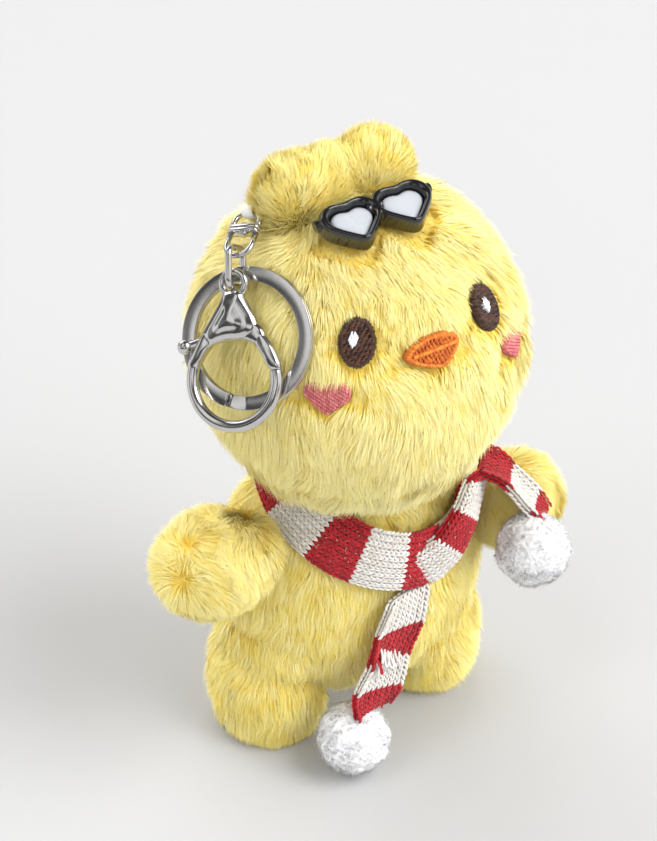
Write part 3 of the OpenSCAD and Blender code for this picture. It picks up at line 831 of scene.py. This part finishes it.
def heart_ring(width, inner, cx, cy, z0, z1):
    """A heart frame with a rounded face round a heart hole: a closed ring of quads."""
    o, i = heart(width, soft=16) + [cx, cy], heart(inner, soft=9) + [cx, cy]
    prof = [(0, z0), (0, z1 - 1.0), (0.1, z1 - 0.4), (0.32, z1), (0.62, z1), (0.9, z1 - 0.5),
            (1, z1 - 1.2), (1, z0), (0, z0)]
    return loft([np.c_[o * (1 - w) + i * w, np.full(len(o), z)] for w, z in prof])


g = Parts(to_glasses)
for s in (-1, 1):
    g.add(*heart_ring(15.0, 10.4, s * HEART_X, -0.6, 36.3, 40.3))
    g.add(*pillow(heart(13, soft=16) + [s * HEART_X, -0.6], 36.3, 37.9, 0.95, 0.0))
    g.add(*bar((s * 11.6, 2.6, 38.2), (s * 13.9, 2.6, 37.9), 1.35))
g.add(*bar((-1.8, 2.2, 38.3), (1.8, 2.2, 38.3), 1.6))
for s in (-1, 1):
    g.add(*bar((s * 6.3, 0, 34.6), (s * 6.3, 0, 36.8), 1.5))
glasses = remeshed("sunglasses_moulding", g, 0.16, 5, [BLACK])
fit(glasses, "plush", "glasses_plastic", "sunglasses_frame")
LENS_PROFILE = ((1.0, 37.6), (1.0, 38.6), (0.95, 39.0), (0.8, 39.25), (0.4, 39.4), (0.01, 39.42))
for s, side in ((-1, "right"), (1, "left")):
    g = Parts(to_glasses)
    o = heart(9.5, soft=8)
    g.add(*loft([np.c_[o * k + [s * HEART_X, -0.6], np.full(len(o), z)] for k, z in LENS_PROFILE]))
    fit(g.make("lens_%s_heart" % side, [LENS]), "plush", "lens_plastic", "sunglasses_lens_" + side)


# Knitting ----------------------------------------------------------------------------------

def knit(surface, cols, rows, colour, r):
    """Stockinette over surface(u, v, w): u counts the columns, v the rows, w is the height out.
    Returns vertices, quads and material indexes; colour(v) is 0 for red and 1 for white."""
    i, j = np.meshgrid(np.arange(cols), np.arange(rows), indexing="ij")
    i, j = i.ravel().astype(float), j.ravel().astype(float)
    steps, sides = 6, 5
    t = np.linspace(0, 1, steps)
    K = len(i)
    ang = np.arange(sides) * 2 * math.pi / sides
    V, M = [], []
    for leg in (-1, 1):
        jit = r.uniform(-0.05, 0.05, (len(i), 2))
        u = i[:, None] + 0.5 + leg * (0.08 + 0.36 * np.sin(t * math.pi / 2) ** 1.1)[None] + jit[:, :1]
        v = j[:, None] + (-0.12 + 1.3 * t)[None] + jit[:, 1:]
        w = (0.18 + 0.34 * np.sin(math.pi * np.clip(t * 1.05, 0, 1)))[None]
        w = w + r.uniform(-0.04, 0.04, (K, 1))
        p = surface(u, v, w)
        pu = surface(u + 0.05, v, w) - p
        pw = surface(u, v, w + 0.1) - p
        along = unit(np.gradient(p, axis=1))
        up = unit(pw - along * (pw * along).sum(-1, keepdims=True))
        sd = np.cross(along, up)
        taper = 0.235 * (1 - 0.25 * np.abs(t - 0.5) * 2)
        rad = np.linalg.norm(pu, axis=-1, keepdims=True)[..., None] / 0.05 * taper[None, :, None, None]
        ring = (sd[:, :, None] * np.cos(ang)[None, None, :, None]
                + 0.85 * up[:, :, None] * np.sin(ang)[None, None, :, None])
        V.append((p[:, :, None] + ring * rad).reshape(-1, 3))
        shade = r.choice([0, 0, 1, 2], K) + len(RED) * colour(j).astype(int)
        M.append(np.repeat(shade, (steps - 1) * sides))
    return np.vstack(V), thread_quads(2 * K, steps, sides), np.concatenate(M)


def strip_core(surface, cols, rows, colour, cut=2):
    """The cloth behind the stitches, as one thin closed sheet."""
    us = np.linspace(0, cols, cols * cut + 1)
    vs = np.linspace(0, rows, rows * cut + 1)
    uu, vv = np.meshgrid(us, vs, indexing="ij")
    a = surface(uu, vv, np.full_like(uu, 0.05))
    b = surface(uu, vv, np.full_like(uu, -0.5))
    nu, nv = uu.shape
    P = np.concatenate([a.reshape(-1, 3), b.reshape(-1, 3)])
    i, j = np.meshgrid(np.arange(nu - 1), np.arange(nv - 1), indexing="ij")
    q = (i * nv + j).ravel()
    f = np.stack([q, q + nv, q + nv + 1, q + 1], 1)
    N = nu * nv
    back = (f + N)[:, ::-1]
    loop = ([(k, 0) for k in range(nu)] + [(nu - 1, k) for k in range(1, nv)] +
            [(k, nv - 1) for k in range(nu - 2, -1, -1)] + [(0, k) for k in range(nv - 2, 0, -1)])
    idx = np.array([x * nv + y for x, y in loop])
    nxt = np.roll(idx, -1)
    edge = np.stack([idx, idx + N, nxt + N, nxt], 1)
    c = colour(np.minimum(j.ravel() / cut, rows - 1)).astype(int)
    rim_c = colour(np.minimum((idx % nv) / cut, rows - 1)).astype(int)
    return P, np.vstack([f, back, edge]), np.concatenate([c, c, rim_c])


def fuzz(name, verts, body, count, length, seed, width=0.09):
    """Loose fine fibres over knitted pieces."""
    r = np.random.RandomState(seed)
    p = verts[r.randint(0, len(verts), count)]
    d = unit(r.randn(count, 3))
    L = length * r.uniform(0.4, 1.2, (count, 1))
    mid = p + d * L * 0.5
    tip = p + unit(d + r.randn(count, 3) * 0.6) * L
    v = blades(p, mid, tip, unit(np.cross(d, r.randn(count, 3))) * width / 2)
    v[..., 2] = np.maximum(v[..., 2], 0.05)
    tint = np.repeat(r.randint(0, len(KNIT_MATS), count), 3)
    ob = add_mesh(name, v, blade_faces(count), KNIT_MATS, tint, smooth=False)
    return fit(ob, body, "scarf_knit")


def cloth_size(surface, cols, rows):
    """The flat size of a knitted length in metres: across the middle row and along the middle."""
    a, b = np.linspace(0, cols, 60), np.linspace(0, rows, 400)
    row = surface(a, np.full(60, rows / 2), np.zeros(60))
    column = surface(np.full(400, cols / 2), b, np.zeros(400))
    return tuple(float(np.linalg.norm(np.diff(q, axis=0), axis=1).sum()) / 1000 for q in (row, column))


WRAP_COLS, WRAP_ROWS, STRIPE = 10, 118, 8.43


def wrap_surface(u, v, w):
    phi = (v / WRAP_ROWS) * 2 * math.pi
    h = 0.3 + (u / WRAP_COLS) * 11.4
    return wrap_point(phi, np.clip(h, -0.6, 12), w - 0.35)


def wrap_colour(v):
    return (((v + 2) // STRIPE).astype(int) % 2) == 1


wrap = Parts()
wrap.add(*knit(wrap_surface, WRAP_COLS, WRAP_ROWS, wrap_colour, np.random.RandomState(12)))
yarn = fit(wrap.make("scarf_wrap_stitches", KNIT_MATS), "plush", "scarf_knit")
core = Parts()
core.add(*strip_core(wrap_surface, WRAP_COLS, WRAP_ROWS, wrap_colour))
cloth = fit(core.make("scarf_wrap_cloth", [RED_CORE, WHITE_CORE]), "plush", "scarf_knit", "scarf_wrap")
fluff = fuzz("scarf_wrap_fuzz", wrap.v[0], "plush", 2500, 1.2, 3)
cloth_size(wrap_surface, WRAP_COLS, WRAP_ROWS)


def ribbon_surface(points, across, width, cols, rows):
    """A strip along a smooth path, as a surface for knit, with the side that face=-1 gives on its
    back. across is the width direction at each path point."""
    pts = np.asarray(points, float)
    seg = np.linalg.norm(np.diff(pts, axis=0), axis=1)
    s = np.concatenate([[0], np.cumsum(seg)]) / seg.sum()
    fine = np.linspace(0, 1, 200)
    path = np.stack([np.interp(fine, s, pts[:, k]) for k in range(3)], 1)
    acr = np.stack([np.interp(fine, s, np.asarray(across, float)[:, k]) for k in range(3)], 1)
    for _ in range(75):
        path[1:-1] = (path[:-2] + 2 * path[1:-1] + path[2:]) / 4
        acr[1:-1] = (acr[:-2] + 2 * acr[1:-1] + acr[2:]) / 4
    acr = unit(acr)
    tan = unit(np.gradient(path, axis=0))
    nrm = unit(np.cross(acr, tan))

    def surface(u, v, w, face=1):
        t = np.clip(v / rows, 0, 1)
        over = (v / rows - t) * seg.sum()
        P, A, N, T = (np.stack([np.interp(t, fine, q[:, k]) for k in range(3)], -1)
                      for q in (path, acr, nrm, tan))
        c = (u / cols - 0.5) * face
        curl = 1.2 * (2 * np.abs(c)) ** 4 + 0.3 * np.sin(t * 9 + 2 * c)
        return P + T * over[..., None] + A * (c * width)[..., None] + N * (w * face - curl)[..., None]
    return surface


STRIP_COLS = 8


def strip(name, body, points, across, width, rows, colour, seed, held, rests, *nodes):
    """A length of scarf: both faces knitted, on a thin cloth."""
    r = np.random.RandomState(seed)
    surf = ribbon_surface(points, across, width, STRIP_COLS, rows)
    st = Parts()
    for face in (1, -1):
        st.add(*knit(lambda u, v, w: surf(u, v, w + 0.45, face), STRIP_COLS, rows, colour, r))
    yarn = fit(st.make(name + "_stitches", KNIT_MATS), body, "scarf_knit")
    cr = Parts()
    cr.add(*strip_core(lambda u, v, w: surf(u, v, w + 0.22), STRIP_COLS, rows, colour))
    cloth = fit(cr.make(name + "_cloth", [RED_CORE, WHITE_CORE]), body, "scarf_knit", *nodes)
    fluff = fuzz(name + "_fuzz", st.v[0], body, 500, 1.1, seed + 9)
    cloth_size(surf, STRIP_COLS, rows)


def striped(start, length, white_first):
    """Stripes of length rows, as a colour for knit."""
    def colour(v):
        k = ((v + start) // length).astype(int) % 2
        return (k == 0) if white_first else (k == 1)
    return colour


# The end that hangs down the front
front_top = standing(JOINTS["front_end_lift"]["pos_m"])
FRONT_W, FRONT_ROWS = 11.6, 25
front_pts = front_top + np.array([(0, 0, 1.5), (-2.2, -0.6, -7), (-5.4, -0.9, -15), (-8.6, -1.2, -23),
                                  (-9.6, -1.0, -27.5)])
front_across = np.array([(1, 0.3, 0.1), (1, -0.1, 0.1), (1, 0.25, -0.1), (1, -0.05, -0.05),
                         (1, 0.35, -0.15)])
strip("scarf_front_end", "front_end", front_pts, front_across, FRONT_W, FRONT_ROWS,
      striped(0, 6.6, True), 60, "hung", ["scarf_wrap_cloth"], "scarf_front_end")

# Loose yarn: pulled loops at the front end's edge and frayed ends over the pompom
loose = Parts()
surf = ribbon_surface(front_pts, front_across, FRONT_W, STRIP_COLS, FRONT_ROWS)
PULLED = [(1.0, 9.5, 3), (1.9, 10.6, 3), (2.9, 11.2, 3), (4.0, 11.8, 3), (5.0, 12.0, 4), (0.4, 11.0, 0),
          (0.9, 12.6, 3)]
for k, (u0, v0, m) in enumerate(PULLED):
    t = np.linspace(0, 1, 16)
    w = 0.5 + (2.0 + 0.5 * (k % 3)) * np.sin(math.pi * t) ** 0.8
    q = surf(STRIP_COLS - (u0 + 1.0 * t + 0.25 * np.sin(t * 9 + k)),
             v0 + 2.6 * np.sin(math.pi * t) + 0.8 * t, w, -1)
    loose.add(*tube(q, 0.3, 8), m)
r = np.random.RandomState(66)
for k in range(16):
    t = np.linspace(0, 1, 8)
    u0 = 0.5 + 7 * k / 15
    q = surf(u0 + 0.5 * t * r.uniform(-1, 1), 23.6 + t * r.uniform(1.6, 3.6),
             0.5 + 0.6 * np.sin(t * 3 + k))
    loose.add(*tube(q, 0.24, 7), int(r.randint(0, len(RED))))
fit(loose.make("scarf_front_loose_yarn", KNIT_MATS), "front_end", "scarf_knit")

# The end over the left arm, and the length that crosses the band and rises to it
side_top = standing(JOINTS["side_end_lift"]["pos_m"])
sx = -np.array(JOINTS["side_end_lift"]["axis"])
side_pts = side_top + np.array([(-0.6, 0.5, 0.4), (2.2, -1.7, -1.2), (5.4, -4.4, -5.0),
                                (8.4, -7.0, -9.6), (10.6, -8.8, -13.2)])
side_across = [sx, sx, sx + [0, 0, -0.05], sx + [0, 0, -0.1], sx + [0, 0, -0.15]]
strip("scarf_side_end", "side_end", side_pts, side_across, 11.0, 14, striped(2, 6.2, False), 70,
      "hung", ["scarf_crossing_cloth", "arm_left_coat"], "scarf_side_end")
cross_pts = [(2.0, -18.0, 50.0), (7.6, -20.5, 51.0), (13.0, -20.6, 54.4), (18.6, -18.6, 60.0),
             (23.8, -15.0, 66.0), side_top + [0.2, 0.2, 0.6]]
cross_across = [(0.35, 0.0, -0.85), (0.45, 0.0, -0.8), (0.62, 0.21, -0.65), (0.61, 0.27, -0.66),
                (0.65, 0.5, -0.45), sx]
strip("scarf_crossing", "plush", cross_pts, cross_across, 10.8, 26, striped(-3, 6.4, True), 80,
      "draped", ["scarf_wrap_cloth", "body_coat"])


# Pompoms -----------------------------------------------------------------------------------

def pompom(node, body, seed):
    """A ball of wool: a lumpy core with short curled fibres that lie round it."""
    centre, (a, b) = middle(node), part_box(node)
    radius = (b[0] - a[0]) * 500
    core = Parts()
    v, f = sphere_mesh(centre, (radius - 0.5,) * 3, 128, 64)
    lumps = 0.022 * Waves(5, seed)(v)[:, :1] + 0.012 * Waves(1.6, seed + 4, 24)(v)[:, :1]
    core.add(centre + (v - centre) * (1 + lumps), f)
    fit(core.make(node + "_core", [WOOL_CORE]), body, "pompom_wool", node)
    r = np.random.RandomState(seed)
    count = 64000
    n = unit(r.randn(count, 3))
    p = centre + n * (radius - 0.75) * (1 + 0.022 * Waves(5, seed)(centre + n * radius)[:, :1])
    d = unit(n * r.uniform(-0.05, 0.6, (count, 1)) + unit(r.randn(count, 3)) * 0.9)
    L = r.uniform(0.5, 1.1, (count, 1)) * np.where(r.rand(count, 1) < 0.12, 1.8, 1)
    curl = unit(r.randn(count, 3)) * 0.8
    mid = p + d * L * 0.5 + curl * 0.25
    tip = p + unit(d + curl - n * 0.35) * L
    s = unit(np.cross(d, r.randn(count, 3))) * 0.065 / 2
    s *= np.sign((np.cross(s, d) * n).sum(1, keepdims=True))
    v = blades(p, mid, tip, s)
    v[..., 2] = np.maximum(v[..., 2], 0.05)
    tint = np.repeat(r.choice([0, 0, 1, 2, 2, 0, 2, 3], count), 3)
    o = add_mesh(node + "_wool", v, blade_faces(count), WOOL, tint, normals=np.repeat(n, 5, 0))
    fit(o, body, "pompom_wool")


pompom("pompom_front", "front_end", 91)
pompom("pompom_side", "side_end", 92)


# Hardware ----------------------------------------------------------------------------------

def arc(centre, r, a0, a1, n, z=0.0):
    t = np.radians(np.linspace(a0, a1, n))
    return np.stack([centre[0] + r * np.cos(t), centre[1] + r * np.sin(t), np.full(n, z)], 1)


# Split ring: two flat coils with eased edges and one joggle
prof = []
for cx, cy, q0 in ((1.32, 0.25, 0), (-1.32, 0.25, 90), (-1.32, -0.25, 180), (1.32, -0.25, 270)):
    for q in (0, 30, 60, 90):
        t = math.radians(q0 + q)
        prof.append((cx + 0.17 * math.cos(t), cy + 0.17 * math.sin(t)))
prof = np.array(prof)
ang = np.linspace(-98 + RING_TURN, -98 + RING_TURN + 698, 420)
lift = np.interp(ang, [-98 + RING_TURN + 338, -98 + RING_TURN + 358], [-0.47, 0.47])
ta = np.radians(ang)
rad = RING_R + prof[None, :, 0]
P = np.stack([RING_C[0] + rad * np.cos(ta)[:, None], RING_C[1] + rad * np.sin(ta)[:, None],
              RING_Z + lift[:, None] + prof[None, :, 1] * 0.98], -1)
ring = Parts(from_chain)
ring.add(*loft(np.concatenate([shut(P[:1]), P, shut(P[-1:])])))
fit(ring.make("split_ring_coils", [STEEL]), "ring", "metal", "split_ring")

# Link
half_w, half_l, c = 3.4, LINK_LEN / 2, 1.8
link = []
for cx, cy, a0 in ((half_w - c, half_l - c, 0), (-half_w + c, half_l - c, 90),
                   (-half_w + c, -half_l + c, 180), (half_w - c, -half_l + c, 270)):
    for q in np.linspace(0, 90, 12):
        t = math.radians(a0 + q)
        link.append((cx + c * math.cos(t), cy + c * math.sin(t)))
link = np.array(link)
path = np.stack([np.full(len(link), LINK_X), LINK_Y + LINK_LEN / 2 + link[:, 1], LINK_Z - link[:, 0]], 1)
dense = np.concatenate([np.linspace(path[i], path[(i + 1) % len(path)], 3)[:-1]
                        for i in range(len(path))])
lk = Parts()
lk.add(*tube(from_chain(dense), 0.7, 20, closed=True))
fit(lk.make("chain_link_wire", [STEEL]), "link", "metal", "chain_link")

# Swivel: two wire loops with plates, held by a rivet
tilt = math.radians(35)
E1 = np.array([0, math.cos(tilt), -math.sin(tilt)])
E2 = np.array([1.0, 0, 0])
E3 = np.cross(E2, E1)
SW0 = np.array([LINK_X, LINK_Y + LINK_LEN - 1.3 - 0.35, LINK_Z])
SW_LEN = 11.7


def sw(p):
    """From the swivel's own frame: across it, up its pin, and out of its plane."""
    p = np.asarray(p, float)
    return from_chain(SW0 + p[:, :1] * E2 + p[:, 1:2] * E1 + p[:, 2:] * E3)


def sw_u(y0, leg, sign):
    """A wire loop: a half round at y0 with two legs, which run up or down by sign."""
    bow = [(2.9 * math.cos(t), 2.9 + 2.9 * math.sin(t), 0) for t in np.linspace(math.pi, 2 * math.pi, 28)]
    a = np.array([(-2.9, leg, 0)] + bow + [(2.9, leg, 0)])
    a[:, 1] = y0 + sign * a[:, 1]
    return sw(a)


def plate(y0, y1):
    """A small plate across the loop with rounded ends."""
    t = np.radians(np.arange(0, 360, 15))
    x = 2.3 * np.sign(np.cos(t)) * (np.abs(np.cos(t)) > 0.01) + 1.25 * np.cos(t)
    z = 1.25 * np.sin(t)
    rings = []
    for s, y in ((0.02, y0), (0.94, y0), (1, y0 + 0.12), (1, y1 - 0.12), (0.94, y1), (0.02, y1)):
        rings.append(sw(np.stack([x * s, np.full(len(t), y), z * s], 1)))
    return loft(rings)


def rivet(y0, y1, n):
    return sw(np.array([(0, y, 0) for y in np.linspace(y0, y1, n)]))


low = Parts()
low.add(*tube(sw_u(0, 6.1, 1), 0.6))
low.add(*plate(5.9, 6.7))
fit(low.make("swivel_lower_loop", [STEEL]), "swivel_bottom", "metal", "swivel_lower")
up = Parts()
up.add(*tube(sw_u(SW_LEN, 4.3, -1), 0.6))
up.add(*plate(6.8, 7.6))
fit(up.make("swivel_upper_loop", [STEEL]), "swivel_top", "metal", "swivel_upper")
rv = Parts()
for y0, y1 in ((5.35, 5.95), (7.65, 8.25)):
    rv.add(*tube(rivet(y0, y1, 6), [0.7, 1.0, 1.1, 1.1, 1.0, 0.7], 20))
rv.add(*tube(rivet(5.8, 7.8, 4), 0.68))
fit(rv.make("swivel_rivet_pin", [STEEL]), "swivel_bottom", "metal", "swivel_rivet")


# Lobster clasp: cast body with eye, hook and the sprung gate
def cl(p):
    """From the clasp's own frame, whose origin is its eye."""
    return from_chain(np.asarray(p, float) + [*CLASP_O, CLASP_Z])


def slab(poly, t, flat=0.55, dome=0.1):
    """A cast part from its outline: the corners are rounded off and the faces domed."""
    o = np.asarray(poly, float)
    for _ in range(3):
        nxt = np.roll(o, -1, 0)
        o = np.stack([o * 0.75 + nxt * 0.25, o * 0.25 + nxt * 0.75], 1).reshape(-1, 2)
    v, f = pillow(o, -t / 2, t / 2, flat, dome)
    return cl(v), f


cb = Parts()
cb.add(*slab([(-1.9, -1.6), (-2.9, -4.0), (-5.2, -7.6), (-7.9, -11.9), (-6.2, -14.0), (-4.0, -12.9),
              (-0.8, -12.2), (3.0, -12.2), (5.9, -10.6), (5.7, -8.0), (3.6, -4.9), (2.2, -2.6),
              (1.7, -1.6)], 3.5, 0.5, 0.3))
cb.add(*slab([(-5.2, -8.2), (-8.2, -12.3), (-10.9, -17.6), (-9.8, -18.8), (-8.0, -17.9), (-6.0, -14.4),
              (-3.6, -12.2)], 2.9))
cb.add(*tube(cl(arc((0, -0.45), 2.65, 0, 360, 49)[:-1]), 0.75, 14, closed=True))
cb.add(*tube(cl(arc(HOOK_AT, HOOK_R, 146, 371, 90)), 1.32, 18))
cb.add(*tube(cl(arc((3.3, -9.6), 0.6, 0, 360, 20)), 1.35, 14, closed=True))
fit(remeshed("clasp_casting", cb, 0.17, 6, [STEEL]), "clasp", "metal", "clasp_body")
gt = Parts()
gt.add(*slab([(2.2, -8.0), (5.5, -8.3), (7.6, -10.6), (7.6, -14.0), (4.2, -12.6), (1.4, -11.6)], 2.1))
gt.add(*slab([(5.4, -9.0), (8.9, -12.7), (10.4, -15.6), (11.2, -18.2), (9.9, -19.0), (8.2, -18.2),
              (6.6, -14.9), (4.4, -12.2)], 2.3))
gt.add(*tube(cl(np.linspace((-4, -11.2, 0), (-11.0, -13.3, 0), 8)),
             [1.0, 1.0, 0.95, 0.9, 0.85, 0.8, 0.8, 0.8], 14))
v, f = sphere_mesh((-11.3, -13.4, 0), (1.65,) * 3, 32, 16)
gt.add(cl(v), f)
fit(remeshed("clasp_lever", gt, 0.16, 3, [STEEL]), "gate", "metal", "clasp_gate")
for name in ("clasp_pin", "clasp_spring"):
    polys = frame["nodes"][name].data.polygons
    polys.foreach_set("use_smooth", np.ones(len(polys), bool))

# Hanging loop: a folded ribbon round the swivel's upper wire, sewn into the head
wire = SW0 + E1 * SW_LEN
wc = from_chain(wire[None])[0]
inward = unit(HC - wc)
sdir = from_chain((SW0 + E2)[None])[0] - from_chain(SW0[None])[0]
upv = np.cross(inward, sdir)
loop_path = [wc + inward * 8.6 + upv * 0.45, wc + inward * 3.0 + upv * 0.55]
for t in np.linspace(0.35, 2 * math.pi - 0.35, 26):
    loop_path.append(wc + 1.25 * (inward * math.cos(t) + upv * math.sin(t)))
loop_path += [wc + inward * 3.0 - upv * 0.55, wc + inward * 8.6 - upv * 0.45]
pth = np.array(loop_path)
tan = unit(np.gradient(pth, axis=0))
nrm = unit(np.cross(tan, sdir))
hl = Parts()
cs = [(-1.5, -0.22), (-1.42, -0.3), (1.42, -0.3), (1.5, -0.22), (1.5, 0.22), (1.42, 0.3),
      (-1.42, 0.3), (-1.5, 0.22)]
hl.add(*loft(np.stack([pth + sdir * a * 0.8 + nrm * b for a, b in cs], 1)))
fit(hl.make("hanging_ribbon", [RIBBON]), "plush", "plush_cover", "hanging_loop")


# Stage, light and camera -------------------------------------------------------------------

FLOOR = 4000
corners = np.array([(-FLOOR, -FLOOR, 0), (FLOOR, -FLOOR, 0), (FLOOR, FLOOR, 0), (-FLOOR, FLOOR, 0)], float)
floor = add_mesh("floor", corners - [0, 0, 0.02], [(0, 1, 2, 3)],
                 [material("floor_pale", (0.485, 0.485, 0.487), (0.495, 0.495, 0.497), 2, 0.9)])


def area_light(name, at, to, size, power):
    d = bpy.data.lights.new(name, "AREA")
    d.shape, d.size, d.energy = "DISK", size, power
    o = bpy.data.objects.new(name, d)
    bpy.context.scene.collection.objects.link(o)
    o.location = at
    o.rotation_euler = Vector(np.array(to) - np.array(at)).to_track_quat("-Z", "Y").to_euler()


area_light("key", (1.2, -1.5, 2.5), (0, 0, 0.07), 1.9, 60)
area_light("back", (-0.6, 2.2, 2.0), (0, 0, 0.08), 1.6, 12)

# A sky of soft pale and dark patches, which glossy surfaces see dimmer than the rest do
world = bpy.data.worlds.new("studio")
world.use_nodes = True
wt = world.node_tree
sky = wt.nodes["Background"].inputs
ray, dim = wt.nodes.new("ShaderNodeLightPath"), wt.nodes.new("ShaderNodeMapRange")
coords, clouds = wt.nodes.new("ShaderNodeTexCoord"), wt.nodes.new("ShaderNodeTexNoise")
span = wt.nodes.new("ShaderNodeMapRange")
for node, values in ((dim, {"To Min": 1.8, "To Max": 0.62}),
                     (clouds, {"Scale": 1.7, "Detail": 0.6}),
                     (span, {"From Min": 0.44, "From Max": 0.56, "To Min": 0.12, "To Max": 1.7})):
    for key, value in values.items():
        node.inputs[key].default_value = value
for source, target in ((ray.outputs["Is Glossy Ray"], dim.inputs["Value"]),
                       (dim.outputs["Result"], sky["Strength"]),
                       (coords.outputs["Generated"], clouds.inputs["Vector"]),
                       (clouds.outputs["Fac"], span.inputs["Value"]),
                       (span.outputs["Result"], sky["Color"])):
    wt.links.new(source, target)
bpy.context.scene.world = world
bpy.context.scene.view_settings.view_transform = "Standard"

CAMERA_AT = np.array([-235.7, -412.3, 390.0])
cam_data = bpy.data.cameras.new("camera")
cam_data.lens, cam_data.sensor_width = 108, 36
cam_data.clip_start, cam_data.clip_end = 0.01, 20
cam = bpy.data.objects.new("camera", cam_data)
bpy.context.scene.collection.objects.link(cam)
az, el = math.radians(-29), math.radians(33)
right = (math.cos(az), math.sin(az), 0.0)
upw = (-math.sin(az) * math.sin(el), math.cos(az) * math.sin(el), math.cos(el))
back = (math.sin(az) * math.cos(el), -math.cos(az) * math.cos(el), math.sin(el))
rot = Matrix((right, upw, back)).transposed().to_4x4()
rot.translation = ((CAMERA_AT + SHIFT) / 1000).tolist()
cam.matrix_world = rot
bpy.context.scene.camera = cam
